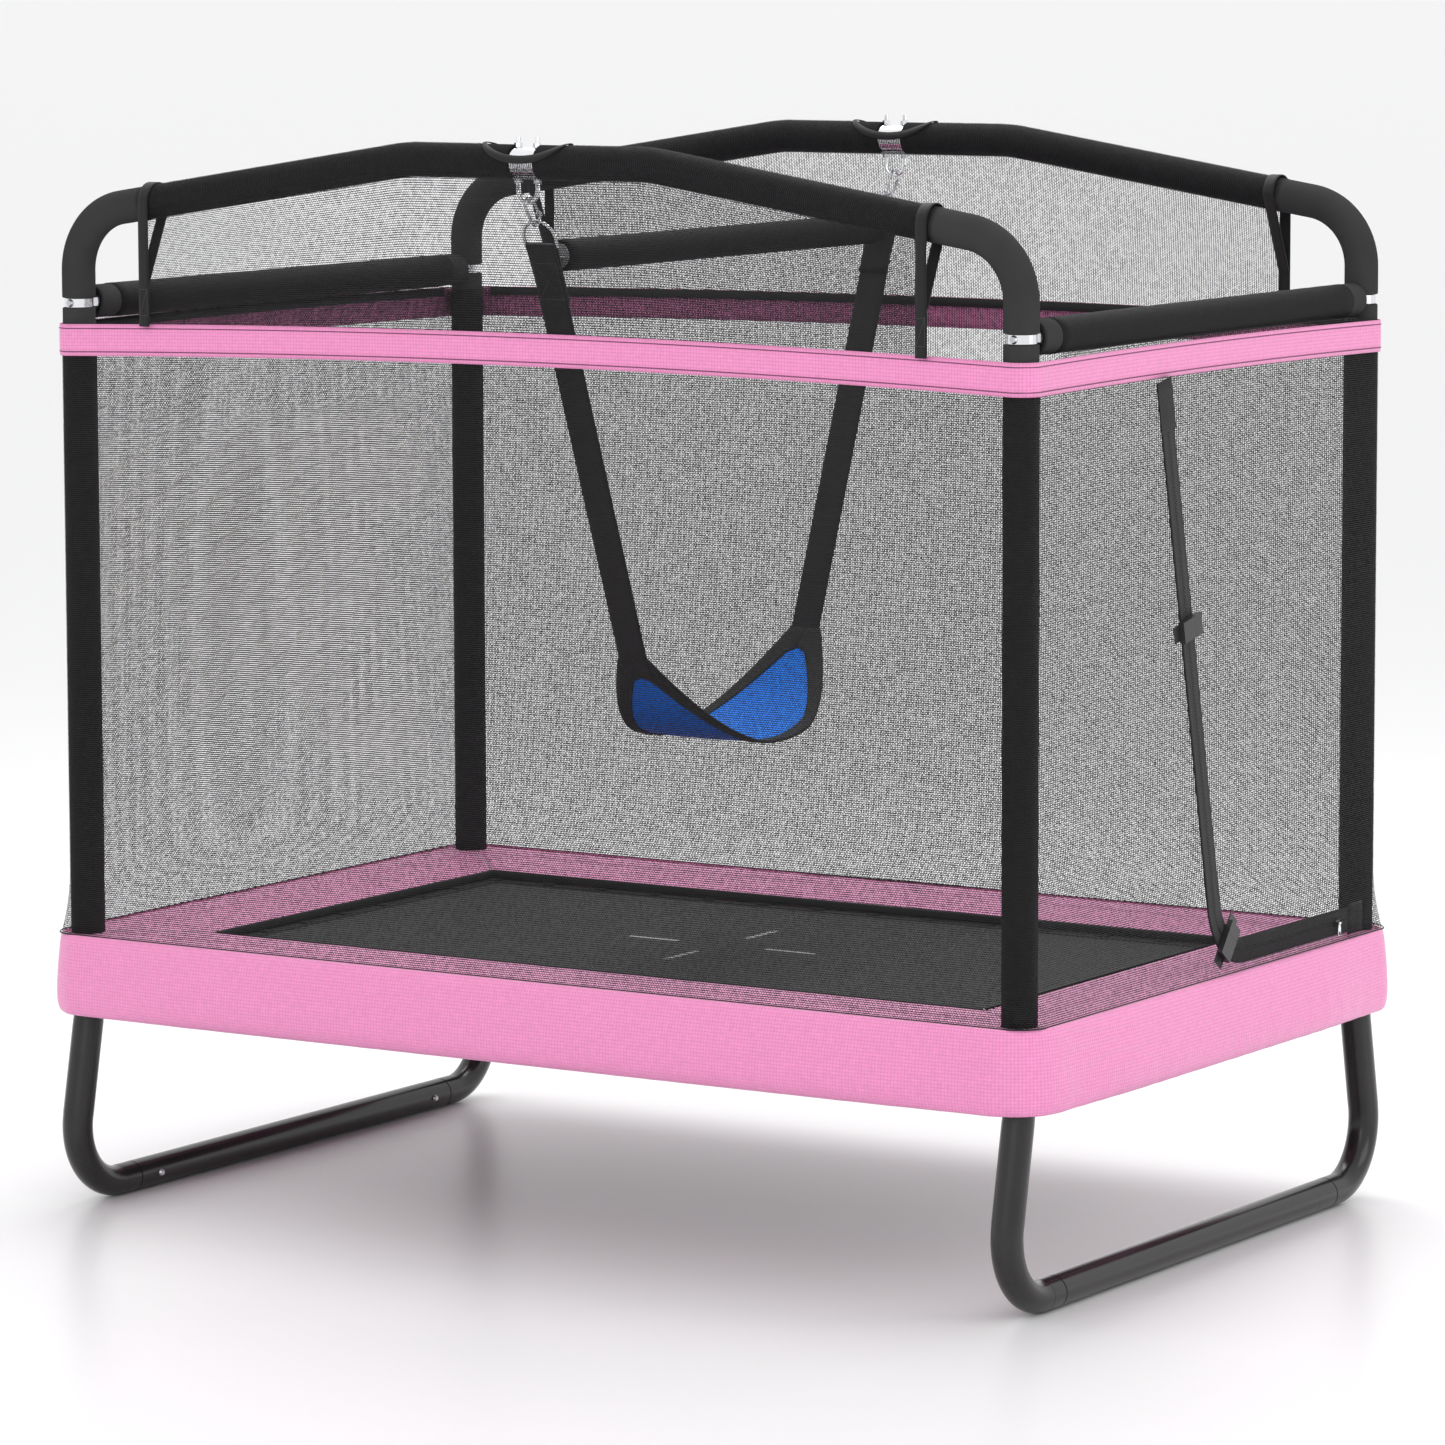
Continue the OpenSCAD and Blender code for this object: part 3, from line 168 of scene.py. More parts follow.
class Finish:
    """A material on its own shader, with shared effects placed into it."""

    def __init__(self, name, colour, roughness, metallic=0.0, sheen=0.0, coat=0.0, gloss=0.5):
        self.material = bpy.data.materials.new(name)
        self.material.use_nodes = True
        self.tree = self.material.node_tree
        self.shader = self.tree.nodes["Principled BSDF"].inputs
        for label, value in (("Base Color", (*colour, 1.0)), ("Roughness", roughness), ("Metallic", metallic),
                             ("Sheen Weight", sheen), ("Coat Weight", coat), ("Specular IOR Level", gloss)):
            self.shader[label].default_value = value

    def place(self, group, **inputs):
        return part(self.tree, "Group", {"node_tree": group}, None, **inputs)

    def cloth_map(self):
        return part(self.tree, "UVMap", {"uv_map": "cloth"})

    def blend(self, factor, first, second):
        """A colour between two, by a mask."""
        return part(self.tree, "Mix", {"data_type": "RGBA"}, "Result", Factor=factor, A=first, B=second)

    def paint(self, colour):
        feed(self.tree, colour, self.shader["Base Color"])

    def vary(self, mask, low, high):
        """Roughness from low to high by a mask."""
        feed(self.tree, calc(self.tree, "MULTIPLY_ADD", mask, high - low, low), self.shader["Roughness"])

    def emboss(self, height, distance):
        feed(self.tree, part(self.tree, "Bump", Distance=distance, Strength=1.0, Height=height),
             self.shader["Normal"])


def shade(colour, factor):
    return (*(min(1.0, channel * factor) for channel in colour), 1.0)


def grained(name, colour, roughness, scale, depth, metallic=0.0, drift=0.12, coat=0.0, gloss=0.5):
    """A plain solid finish: fine grain in its surface and slow changes of tone and gloss."""
    made = Finish(name, colour, roughness, metallic, 0.0, coat, gloss)
    outputs = made.place(grain, Scale=scale)
    made.paint(made.blend(outputs["Patches"], shade(colour, 1 - drift), shade(colour, 1 + drift)))
    made.vary(outputs["Patches"], roughness * 0.85, roughness * 1.15)
    made.emboss(outputs["Height"], depth)
    return made


def dress(finish, *nodes):
    for node in nodes:
        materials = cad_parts[node].data.materials
        materials.clear()
        materials.append(finish.material)


satin_black = grained("satin_black_steel", (0.015, 0.014, 0.0135), 0.24, 900.0, 0.00002, drift=0.2, coat=0.1,
                      gloss=0.36)
dress(satin_black, "rail_front", "rail_rear", "rail_left", "rail_right", "corner_sockets",
      "leg_front_left", "leg_front_right", "leg_rear_right", "leg_rear_left", "foot_tube_left", "foot_tube_right",
      "post_front_left", "post_front_right", "post_rear_right", "post_rear_left",
      "arch_corners_front", "arch_corners_rear", "arch_beam_front", "arch_beam_rear", "top_rails")

# --------------------
# Bright metal: chromed clamps, saddles, U-bolts and nuts, polished snap hooks
# and rings, and zinc plated screws and bar. All are pressed or turned steel.

chrome = grained("chrome", (0.86, 0.87, 0.89), 0.13, 260.0, 0.00002, metallic=1.0, drift=0.05)
dress(chrome, "post_clamps", "beam_saddles", "hanger_bolts", "hanger_nuts")
polished = grained("polished_steel", (0.62, 0.63, 0.65), 0.2, 500.0, 0.00004, metallic=1.0, drift=0.15)
dress(polished, "snap_hooks", "hook_gate_front", "hook_gate_rear", "strap_rings")
zinc = grained("zinc_plate", (0.56, 0.57, 0.59), 0.34, 420.0, 0.00005, metallic=1.0, drift=0.18)
dress(zinc, "frame_screws", "spreader_bar", "v_rings")

# --------------------
# Mat: woven polypropylene, charcoal, hemmed with a 45 mm webbing border and
# sewn tabs that hold the V-rings. Four pale dashes mark its middle.


def sewn(name, grids, finish, slot, *nodes, body="base", ring=False, closed=False, thickness=0.0, side=-1.0,
         flip=False):
    """Mesh of grids of points in millimetres, with a UV map in metres along and across the cloth.
    ring joins each row's last point to its first, closed joins the last row to the first. slot is
    not used, and nodes are what it stands for."""
    points, faces, spots = [], [], []
    for grid in grids:
        rows = np.array(grid, float) / 1000.0
        n, m = rows.shape[:2]
        start = len(points)
        around = np.concatenate([rows, rows[:, :1]], axis=1) if ring else rows
        down = np.concatenate([rows, rows[:1]], axis=0) if closed else rows
        u = np.concatenate([[0.0], np.cumsum(np.linalg.norm(np.diff(around, axis=1), axis=2).mean(0))])
        v = np.concatenate([[0.0], np.cumsum(np.linalg.norm(np.diff(down, axis=0), axis=2).mean(1))])
        points.extend(map(tuple, rows.reshape(-1, 3)))
        for i in range(len(v) - 1):
            for j in range(len(u) - 1):
                corners = [(i, j), (i, j + 1), (i + 1, j + 1), (i + 1, j)]
                if flip:
                    corners.reverse()
                faces.append([start + (a % n) * m + b % m for a, b in corners])
                spots.extend((u[b], v[a]) for a, b in corners)
    mesh = bpy.data.meshes.new(name)
    mesh.from_pydata(points, [], faces)
    mesh.uv_layers.new(name="cloth").data.foreach_set("uv", np.array(spots, np.float32).ravel())
    mesh.shade_smooth()
    mesh.materials.append(finish.material)
    piece = placed(name, mesh)
    if thickness:
        wall = piece.modifiers.new("wall", "SOLIDIFY")
        wall.thickness, wall.offset = thickness / 1000.0, side
    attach(piece, body)
    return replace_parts(piece, *nodes) if nodes else piece


def split_map(tree, vector):
    outputs = part(tree, "ShaderNodeSeparateXYZ", out=None, Vector=vector)
    return outputs["X"], outputs["Y"]


# Plain weave: threads that pass over and under each other at a given pitch
weave, weave_in, weave_out = effect(
    "weave", [("Vector", "Vector"), ("Warp Pitch", "Float", 0.002), ("Weft Pitch", "Float", 0.002)],
    [("Height", "Float"), ("Gaps", "Float"), ("Slubs", "Float")])
counts = [calc(weave, "DIVIDE", axis, weave_in[thread + " Pitch"])
          for axis, thread in zip(split_map(weave, weave_in["Vector"]), ("Warp", "Weft"))]
rounds = [calc(weave, "ABSOLUTE", calc(weave, "SINE", calc(weave, "MULTIPLY", count, math.pi)))
          for count in counts]
checker = calc(weave, "MODULO", calc(weave, "ABSOLUTE", calc(
    weave, "ADD", *(calc(weave, "FLOOR", count) for count in counts))), 2.0)
over_warp, over_weft = (calc(weave, "MULTIPLY", over, calc(weave, "MULTIPLY_ADD", under, 0.5, 0.5))
                        for over, under in (rounds, rounds[::-1]))
picked = calc(weave, "ADD", calc(weave, "MULTIPLY", over_warp, checker),
              calc(weave, "MULTIPLY", over_weft, calc(weave, "SUBTRACT", 1.0, checker)))
feed(weave, picked, weave_out["Height"])
# Gap Shade: painted shade, 1 in the gaps between the threads and 0 on them
feed(weave, calc(weave, "SUBTRACT", 1.0, calc(
    weave, "SMOOTH_MIN", calc(weave, "MULTIPLY", picked, 2.5), 1.0, 0.2)), weave_out["Gaps"])
feed(weave, speckle(weave, 130.0, 3.0), weave_out["Slubs"])


def woven(name, colour, roughness, warp_pitch, weft_pitch, depth, sheen=0.15, gap_shade=0.45, gloss=0.5):
    """Cloth in plain weave, with painted shade darkening it between its threads."""
    made = Finish(name, colour, roughness, sheen=sheen, gloss=gloss)
    outputs = made.place(weave, Vector=made.cloth_map(), Warp_Pitch=warp_pitch, Weft_Pitch=weft_pitch)
    threads = made.blend(outputs["Slubs"], shade(colour, 0.86), shade(colour, 1.14))
    # Painted shade: the colour darkened in the gaps between the threads
    made.paint(made.blend(outputs["Gaps"], threads, shade(colour, gap_shade)))
    made.vary(outputs["Slubs"], roughness * 0.9, min(1.0, roughness * 1.1))
    made.emboss(outputs["Height"], depth)
    return made


half_x, half_y = 838.0, 530.0
mat_x, mat_y, mat_top, border = 712.0, 404.0, 405.5, 45.0
mat_weave = woven("mat_weave", (0.032, 0.032, 0.031), 0.62, 0.0032, 0.0032, 0.0003, sheen=0.04, gloss=0.25)
marks = mat_weave.tree
spot_x, spot_y = (calc(marks, "ABSOLUTE", axis)
                  for axis in split_map(marks, part(marks, "TexCoord", out="Object")))


def dash(run, beside, start, end, half_width=0.0055):
    """1 within a dash and its mirror image, 0 outside them."""
    within = calc(marks, "MULTIPLY", calc(marks, "GREATER_THAN", run, start), calc(marks, "LESS_THAN", run, end))
    return calc(marks, "MULTIPLY", within, calc(marks, "LESS_THAN", beside, half_width))


dashes = calc(marks, "MAXIMUM", dash(spot_x, spot_y, 0.081, 0.172), dash(spot_y, spot_x, 0.073, 0.162))
mat_weave.paint(mat_weave.blend(dashes, mat_weave.shader["Base Color"].links[0].from_socket,
                                (0.42, 0.42, 0.41, 1.0)))
mat_cloth = sewn("mat_cloth", [[[(x * mat_x, y * mat_y, mat_top) for x in np.linspace(-1, 1, 49)]
                                for y in np.linspace(-1, 1, 29)]],
                 mat_weave, "mat_cloth", "mat", body="mat", thickness=2.6)
webbing = woven("black_webbing", (0.012, 0.012, 0.0125), 0.55, 0.0012, 0.0021, 0.00035, sheen=0.05, gloss=0.25)


def corner_box(x, y, z):
    return [(-x, -y, z), (x, -y, z), (x, y, z), (-x, y, z)]


def rectangle(x, y, z):
    """A ring of points along a rectangle."""
    box = np.array(corner_box(x, y, z))
    return [a + (b - a) * t for a, b in zip(box, np.roll(box, -1, 0)) for t in np.linspace(0, 1, 25)[:-1]]


mat_hem = sewn("mat_hem", [[rectangle(mat_x - inset, mat_y - inset, mat_top + lift)
                            for inset in np.linspace(0, border, 4)] for lift in (0.9, -3.4)],
               webbing, "webbing", body="mat", ring=True, thickness=0.9)


def turned(side, t, out, z):
    """A point beside one side of the frame: t along it, out from its post axes, at a height."""
    return {"front": (t, -half_y - out, z), "right": (half_x + out, t, z),
            "rear": (-t, half_y + out, z), "left": (-half_x - out, -t, z)}[side]


SIDES = {"front": half_x, "right": half_y, "rear": half_x, "left": half_y}
mat_out, end_gap = mat_y - half_y, 30.0
spring_places = {side: [(half + mat_out - end_gap) * (2.0 * i / (count - 1) - 1.0) for i in range(count)]
                 for (side, half), count in zip(SIDES.items(), (14, 8, 14, 8))}
TAB_PROFILE = [(-34.0, 1.2), (-4.0, 1.4), (3.0, 1.6), (6.2, 0.2), (6.8, -1.5), (6.2, -3.2), (3.0, -4.6),
               (-4.0, -4.4), (-34.0, -4.2)]
tabs = [[[turned(side, t + w, mat_out + out, mat_top + lift) for w in (-11.0, 0.0, 11.0)]
         for out, lift in TAB_PROFILE] for side, places in spring_places.items() for t in places]
mat_tabs = sewn("mat_tabs", tabs, webbing, "webbing", body="mat", thickness=1.2)

# --------------------
# Springs: 44 zinc plated coil springs, hooked into the V-rings of the mat and
# into holes in the base rails. They stretch down with the mat.


def growing(name, inputs):
    """An empty tree of geometry nodes with a named input for each size."""
    return effect(name, [("Geometry", "Geometry"), *inputs], [("Geometry", "Geometry")], "Geometry")


def close_tree(tree, geometry, material, ends):
    real = part(tree, "RealizeInstances", Geometry=geometry)
    feed(tree, part(tree, "SetMaterial", Geometry=real, Material=material), ends[0])


def grow(name, tree, points, edges, body, slot, **sizes):
    """Runs a tree on points or lines in millimetres and keeps the result as a plain mesh."""
    mesh = bpy.data.meshes.new(name + "_line")
    mesh.from_pydata([tuple(c / 1000.0 for c in p) for p in points], edges, [])
    source = placed(name + "_line", mesh)
    modifier = source.modifiers.new("grow", "NODES")
    modifier.node_group = tree
    for item in tree.interface.items_tree:
        if item.in_out == "INPUT" and item.name.replace(" ", "_") in sizes:
            modifier[item.identifier] = sizes[item.name.replace(" ", "_")]
    source.update_tag()
    bpy.context.view_layer.update()
    result = bpy.data.meshes.new_from_object(source.evaluated_get(bpy.context.evaluated_depsgraph_get()))
    bpy.data.objects.remove(source)
    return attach(placed(name, result), body)


def joined(tree, bits):
    node = tree.nodes.new("GeometryNodeJoinGeometry")
    for bit in bits:
        tree.links.new(bit, node.inputs[0])
    return node.outputs[0]


coils, size, coils_out = growing("coil_springs", [
    ("Turns", "Float", 22.0), ("Coil Radius", "Float", 0.0042), ("Wire Radius", "Float", 0.0013),
    ("Length", "Float", 0.06), ("Hook Length", "Float", 0.02), ("Turn", "Vector", (0.0, 0.0, 0.0)),
    ("Steel", "Material")])
wire = part(coils, "CurvePrimitiveCircle", Resolution=5, Radius=size["Wire Radius"])
spiral = part(coils, "CurveSpiral", Resolution=9, Rotations=size["Turns"], Start_Radius=size["Coil Radius"],
              End_Radius=size["Coil Radius"], Height=size["Length"])


def shank(low, high):
    """A straight length along the spring's axis."""
    low, high = (part(coils, "ShaderNodeCombineXYZ", Z=z) for z in (low, high))
    return part(coils, "CurvePrimitiveLine", Start=low, End=high)


lap = 0.002
shanks = joined(coils, [shank(calc(coils, "MULTIPLY", size["Hook Length"], -1.0), lap),
                        shank(calc(coils, "SUBTRACT", size["Length"], lap),
                              calc(coils, "ADD", size["Length"], size["Hook Length"]))])
spring = joined(coils, [part(coils, "CurveToMesh", Curve=line, Profile_Curve=wire, Fill_Caps=True)
                        for line in (spiral, shanks)])
rows_of_springs = part(coils, "InstanceOnPoints", Points=size["Geometry"],
                       Instance=part(coils, "SetShadeSmooth", Geometry=spring),
                       Rotation=part(coils, "FunctionNodeEulerToRotation", Euler=size["Turn"]))
close_tree(coils, rows_of_springs, size["Steel"], coils_out)

spring_z, coil_out, rail_hole, ring_eye, quarter = 404.0, -80.0, -22.0, -96.0, math.pi / 2
for side, turn in (("front", (quarter, 0, 0)), ("right", (0, quarter, 0)), ("rear", (-quarter, 0, 0)),
                   ("left", (0, -quarter, 0))):
    springs = grow("springs_" + side, coils, [turned(side, t, coil_out, spring_z) for t in spring_places[side]],
                   [], "base", "zinc", Turns=20.0, Length=0.046, Hook_Length=0.016, Turn=turn, Steel=zinc.material)
    springs.parent = None  # no body: the springs' points are kept in world space
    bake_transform(springs)
    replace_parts(springs, "springs")

# --------------------
# Stitching: thread pulled down into the cloth in a row of short stitches,
# used on every seam from the pads to the seat.


def rows_along(tree, size, item):
    """Copies of an item at a pitch along lines, with its Z axis laid along them."""
    spaced = part(tree, "ResampleCurve", {"mode": "LENGTH"}, Length=size["Pitch"],
                  Curve=part(tree, "MeshToCurve", Mesh=size["Geometry"]))
    lie = part(tree, "FunctionNodeAlignRotationToVector", {"axis": "Z"}, Vector=part(tree, "InputTangent"))
    return part(tree, "InstanceOnPoints", Points=spaced, Instance=item, Rotation=lie)


stitching, size, stitching_out = growing("stitches", [
    ("Pitch", "Float", 0.005), ("Stitch Length", "Float", 0.0035), ("Thread Radius", "Float", 0.0006),
    ("Thread", "Material")])
stitch = part(stitching, "MeshCylinder", Vertices=5, Radius=size["Thread Radius"], Depth=size["Stitch Length"])
close_tree(stitching, rows_along(stitching, size, stitch), size["Thread"], stitching_out)


def stitched(name, lines, thread, slot, body="base", pitch=5.0, length=3.6, radius=0.6, loop=False):
    """Rows of stitches along lines of points in millimetres."""
    points, edges = [], []
    for line in lines:
        first = len(points)
        points += [tuple(p) for p in line]
        edges += [(first + i, first + i + 1) for i in range(len(line) - 1)]
        if loop:
            edges.append((len(points) - 1, first))
    return grow(name, stitching, points, edges, body, slot, Pitch=pitch / 1000, Stitch_Length=length / 1000,
                Thread_Radius=radius / 1000, Thread=thread.material)


dark_thread, pale_thread, plum_thread = (
    grained(name + "_thread", colour, 0.6, 2000.0, 0.0001) for name, colour in (
        ("dark", (0.05, 0.05, 0.052)), ("pale", (0.62, 0.56, 0.60)), ("plum", (0.16, 0.045, 0.11))))
stitched("mat_seams", [corner_box(mat_x - inset, mat_y - inset, mat_top + 1.3) for inset in (3, 24, 42)],
         dark_thread, "webbing", "mat", pitch=6.0, length=4.2, loop=True)

# --------------------
# Padded cover: four mitred lengths of foam in pink coated cloth, laid over the
# springs and rails and slit round the posts, with a black edging on the inside.


def ripple(seed, t, low=4.0, high=15.0, count=5):
    """A smooth irregular wave of about unit height along t, the same on every run."""
    made = np.random.RandomState(seed)
    return sum(math.sin(made.uniform(low, high) * t + made.uniform(0, 6.28)) for _ in range(count)) / count


def smooth_line(points, pieces, closed=False):
    """A smooth line through points."""
    p = np.array(points, float)
    n = len(p)
    line = []
    for i in range(n if closed else n - 1):
        a, b, c, d = (p[(i + k) % n] if closed else p[min(max(i + k, 0), n - 1)] for k in (-1, 0, 1, 2))
        for t in np.arange(pieces) / pieces:
            line.append(0.5 * (2 * b + (c - a) * t + (2 * a - 5 * b + 4 * c - d) * t * t
                               + (3 * b - a - 3 * c + d) * t ** 3))
    if not closed:
        line.append(p[-1])
    return np.array(line)


def round_side(half, inset, out, count=61, bend=9):
    """Points along one side of a rounded rectangle, from mitre to mitre: (along, outward)."""
    radius = out + inset
    if radius <= 0.5:
        return [(t * (half + out), out) for t in np.linspace(-1, 1, count + 2 * bend)]
    turn = [math.radians(45.0 * i / bend) for i in range(bend, 0, -1)]
    start = [(-(half - inset) - radius * math.sin(a), radius * math.cos(a) - inset) for a in turn]
    middle = [(t * (half - inset), out) for t in np.linspace(-1, 1, count)]
    return start + middle + [(-a, b) for a, b in reversed(start)]


def face_outward(piece):
    """Fills the open ends of a shell and turns all its faces outward."""
    shell = bmesh.new()
    shell.from_mesh(piece.data)
    bmesh.ops.holes_fill(shell, edges=[e for e in shell.edges if e.is_boundary])
    bmesh.ops.recalc_face_normals(shell, faces=shell.faces)
    shell.to_mesh(piece.data)
    shell.free()


cover = woven("pink_cover", (0.83, 0.265, 0.525), 0.5, 0.0053, 0.0053, 0.0004, sheen=0.2, gap_shade=0.66)
cover.shader["Coat Weight"].default_value = 0.08
corner_inset, pad_top, side_seam_z, crown_height = 25.0, 430.0, 417.0, 13.0
PAD_SECTION = [(-142.0, 411.5), (-120.0, 410.6), (-60.0, 412.5), (0.0, 414.4), (40.0, 414.4), (48.5, side_seam_z),
               (49.5, 423.0), (46.0, 428.2), (36.0, 429.6), (0.0, pad_top), (-36.0, 429.0), (-71.0, 427.2),
               (-104.0, 424.6), (-128.0, 421.8), (-138.0, 419.6), (-142.5, 416.0)]
section = smooth_line(PAD_SECTION, 2, closed=True)
for number, (side, half) in enumerate(SIDES.items()):
    rows = []
    for ring_points in zip(*(round_side(half, corner_inset, out) for out, z in section)):
        row = []
        for (t, o), (out, z) in zip(ring_points, section):
            soft = max(0.0, (z - side_seam_z) / crown_height)
            dip = 0.8 * ripple(number * 7 + 3, t / 100.0) + 0.5 * math.sin(t / 17.0 + out / 30.0)
            row.append(turned(side, t, o, z + (dip * 0.7 - 0.9) * soft))
        rows.append(row)
    pad = sewn("pad_" + side + "_cover", [rows], cover, "pad_cloth", "pad_" + side, ring=True, flip=True)
    face_outward(pad)

EDGE_SECTION = [(141.0, 421.6), (143.6, 420.0), (144.4, 417.0), (144.4, 412.0), (143.8, 408.2)]
sewn("pad_edging", [[rectangle(half_x - inset, half_y - inset, z) for inset, z in EDGE_SECTION]],
     webbing, "webbing", ring=True, thickness=1.2)
mitres = []
for sx, sy in ((-1, -1), (1, -1), (1, 1), (-1, 1)):
    mitres.append([(sx * (half_x + o), sy * (half_y + o), z + 0.4)
                   for o, z in ((-140, 421), (-104, 424.2), (-71, 426.6), (-36, 428.6), (-29, 429.4))])
    mitres.append([(sx * (half_x + o), sy * (half_y + o), 429.6) for o in (20, 25)])
stitched("pad_seams", mitres, pale_thread, "pad_cloth", pitch=5.5, length=4.2, radius=0.8)

# --------------------
# Skirt: the cover's side panel, the same pink cloth, drawn down round the base
# frame and gathered under it with elastic. It is tight at the corners and swells
# between them, and its lower edge tucks in.

SKIRT_SECTION = [(44.0, 430.4), (51.0, 430.0), (56.5, 426.0), (61.5, 416.0), (66.0, 400.2), (72.0, 375.4),
                 (75.6, 350.6), (76.4, 334.5), (74.2, 319.9), (67.0, 309.0), (56.0, 304.6), (48.0, 307.5)]
corner_pull, pulled_from, pulled_span, tight_from, tight_span = 16.0, 50.0, 27.0, 245.0, 220.0
skirt_grid = []
for out, z in smooth_line(SKIRT_SECTION, 3):
    row = []
    low = min(1.0, max(0.0, (pad_top - z) / 110.0))
    drawn = out - corner_pull * max(0.0, (out - pulled_from) / pulled_span)
    for number, (side, half) in enumerate(SIDES.items()):
        for (t, o), (tight_t, tight_o) in zip(round_side(half, corner_inset, out)[:-1],
                                              round_side(half, corner_inset, drawn)):
            near = min(1.0, max(0.0, (abs(t) - half + tight_from) / tight_span))
            near *= near * (3.0 - 2.0 * near)
            wave = 1.1 * ripple(31 + number, t / 90.0) * low + 0.35 * math.sin(t / 9.0) * low ** 4
            row.append(turned(side, t + (tight_t - t) * near, o + (tight_o - o) * near + wave - 0.6, z))
    skirt_grid.append(row)
skirt = sewn("skirt_cover", [skirt_grid], cover, "pad_cloth", "skirt_long_sides", "skirt_short_sides",
             ring=True, thickness=1.6, flip=True)

# --------------------
# Foam sleeves: split tubes of closed-cell foam pushed over the posts, arches
# and top rails. Bare grey on the bends, covered by the net's pockets elsewhere.

bare_foam = grained("bare_foam", (0.042, 0.042, 0.043), 0.9, 700.0, 0.0005, drift=0.14, gloss=0.03)
dark_foam = grained("dark_foam", (0.016, 0.016, 0.017), 0.9, 700.0, 0.0005, drift=0.14, gloss=0.05)


def skin(line, ref, radius, count=40, wobble=None):
    """Rings of points round a line. ref is a direction square to the whole line."""
    p, ref = np.array(line, float), np.array(ref, float)
    tangent = np.gradient(p, axis=0)
    tangent /= np.linalg.norm(tangent, axis=1)[:, None]
    other = np.cross(tangent, ref)
    rings = []
    for i in range(len(p)):
        r = radius[i] if hasattr(radius, "__len__") else radius
        rings.append([p[i] + (r + (wobble(i, a) if wobble else 0.0)) * (ref * math.cos(a) + other[i] * math.sin(a))
                      for a in np.linspace(0, 2 * math.pi, count, endpoint=False)])
    return rings


def foam_tube(line, ref, outer, inner=19.3):
    """One closed grid for a tube with softly rounded ends."""
    p = np.array(line, float)
    head, tail = p[1] - p[0], p[-2] - p[-1]
    head, tail = head / np.linalg.norm(head), tail / np.linalg.norm(tail)
    first, last = p[:1], p[-1:]
    run = np.vstack([first, first + head * 0.5, first + head * 1.8, p[1:-1],
                     last + tail * 1.8, last + tail * 0.5, last])
    radius = np.full(len(run), outer)
    radius[[0, -1]], radius[[1, -2]] = outer - 1.8, outer - 0.6
    return skin(run, ref, radius) + skin(run, ref, inner)[::-1]


def foam(name, lines, ref, finish, node, slot="foam", outer=26.0, body="base"):
    piece = sewn(name, [foam_tube(line, ref, outer) for line in lines], finish, slot, node, body=body, ring=True,
                 closed=True)
    face_outward(piece)


def straight(start, end, step=20.0):
    a, b = np.array(start, float), np.array(end, float)
    return [a + (b - a) * t for t in np.linspace(0, 1, max(4, int(np.linalg.norm(b - a) / step)))]


POSTS = {"front_left": (-1, -1), "front_right": (1, -1), "rear_right": (1, 1), "rear_left": (-1, 1)}
ARCHES = {"front": -half_y, "rear": half_y}
TOP_RAILS = {"left": -1, "right": 1}
arch_z, arch_flat, slope = 1647.0, 215.0, math.radians(8.9)
bend_from, bend_to, bend_radius = 194.77, 235.0, 260.0
rail_z, post_foam_ends, post_pocket_ends = 1414.0, (428.5, 1406.5), (429.0, 1380.0)
shoulder_x, shoulder_z, shoulder = 738.0, 1463.9, 100.0


def slope_z(x):
    return arch_z - max(0.0, abs(x) - arch_flat) * math.tan(slope)


def arch_height(x):
    """Height of the arch's axis, with the bends beside its flat middle."""
    a = abs(x)
    if a < bend_from:
        return arch_z
    if a < bend_to:
        return arch_z - bend_radius + math.sqrt(bend_radius ** 2 - (a - bend_from) ** 2)
    return slope_z(a)


def post_line(sx, sy, ends, step):
    """Points up a post."""
    return straight(*((sx * half_x, sy * half_y, z) for z in ends), step)


def rail_line(sx, half, step):
    """Points along a short top rail."""
    return straight((sx * half_x, -half, rail_z), (sx * half_x, half, rail_z), step)


for name, (sx, sy) in POSTS.items():
    foam("post_foam_" + name, [post_line(sx, sy, post_foam_ends, 60.0)], (1, 0, 0), bare_foam, "post_foams",
         outer=25.6)
corner = [(half_x, z) for z in np.linspace(1421.5, shoulder_z, 6)]
corner += [(shoulder_x + shoulder * math.cos(a), shoulder_z + shoulder * math.sin(a))
           for a in np.radians(np.linspace(4, 81.1, 18))]
corner += [(x, slope_z(x)) for x in np.linspace(745.0, 700.2, 6)]
run = np.concatenate([np.linspace(699.8, 240.0, 30), np.linspace(234.0, 195.0, 8), np.linspace(185.0, 23.0, 10)])
for arch, y in ARCHES.items():
    foam("corner_foam_" + arch, [[(s * x, y, z) for x, z in corner] for s in (-1, 1)], (0, 1, 0), bare_foam,
         "corner_foams")
    foam("arch_foam_" + arch, [[(s * x, y, arch_height(x)) for x in run] for s in (-1, 1)], (0, 1, 0), dark_foam,
         "beam_foams", outer=25.6)
for rail, sx in TOP_RAILS.items():
    foam("rail_foam_" + rail, [rail_line(sx, 500.0, 50.0)], (1, 0, 0), bare_foam, "top_rail_foams", "foam_pale",
         outer=25.8)

# --------------------
# Foot joints: each straight foot tube is pushed over the narrowed ends of two
# legs, and its cut edge leaves a thin dark line round the foot.

seam_black = grained("foot_seam", (0.003, 0.003, 0.003), 0.8, 900.0, 0.00005, gloss=0.1)
seam_half, seam_radii = 1.1, (24.05, 24.2, 24.05)
for foot in ("left", "right"):
    lowest, highest = (np.array(corner) * 1000.0 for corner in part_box("foot_tube_" + foot))
    centre_x, centre_z = (lowest[0] + highest[0]) / 2, (lowest[2] + highest[2]) / 2
    grids = [[[(px, py, max(pz, 0.0)) for px, py, pz in ring] for ring in
              skin([(centre_x, y + w, centre_z) for w in (-seam_half, 0.0, seam_half)], (1, 0, 0), seam_radii, 48)]
             for y in (lowest[1], highest[1])]
    sewn("foot_seams_" + foot, grids, seam_black, "black_steel", ring=True, thickness=0.3)

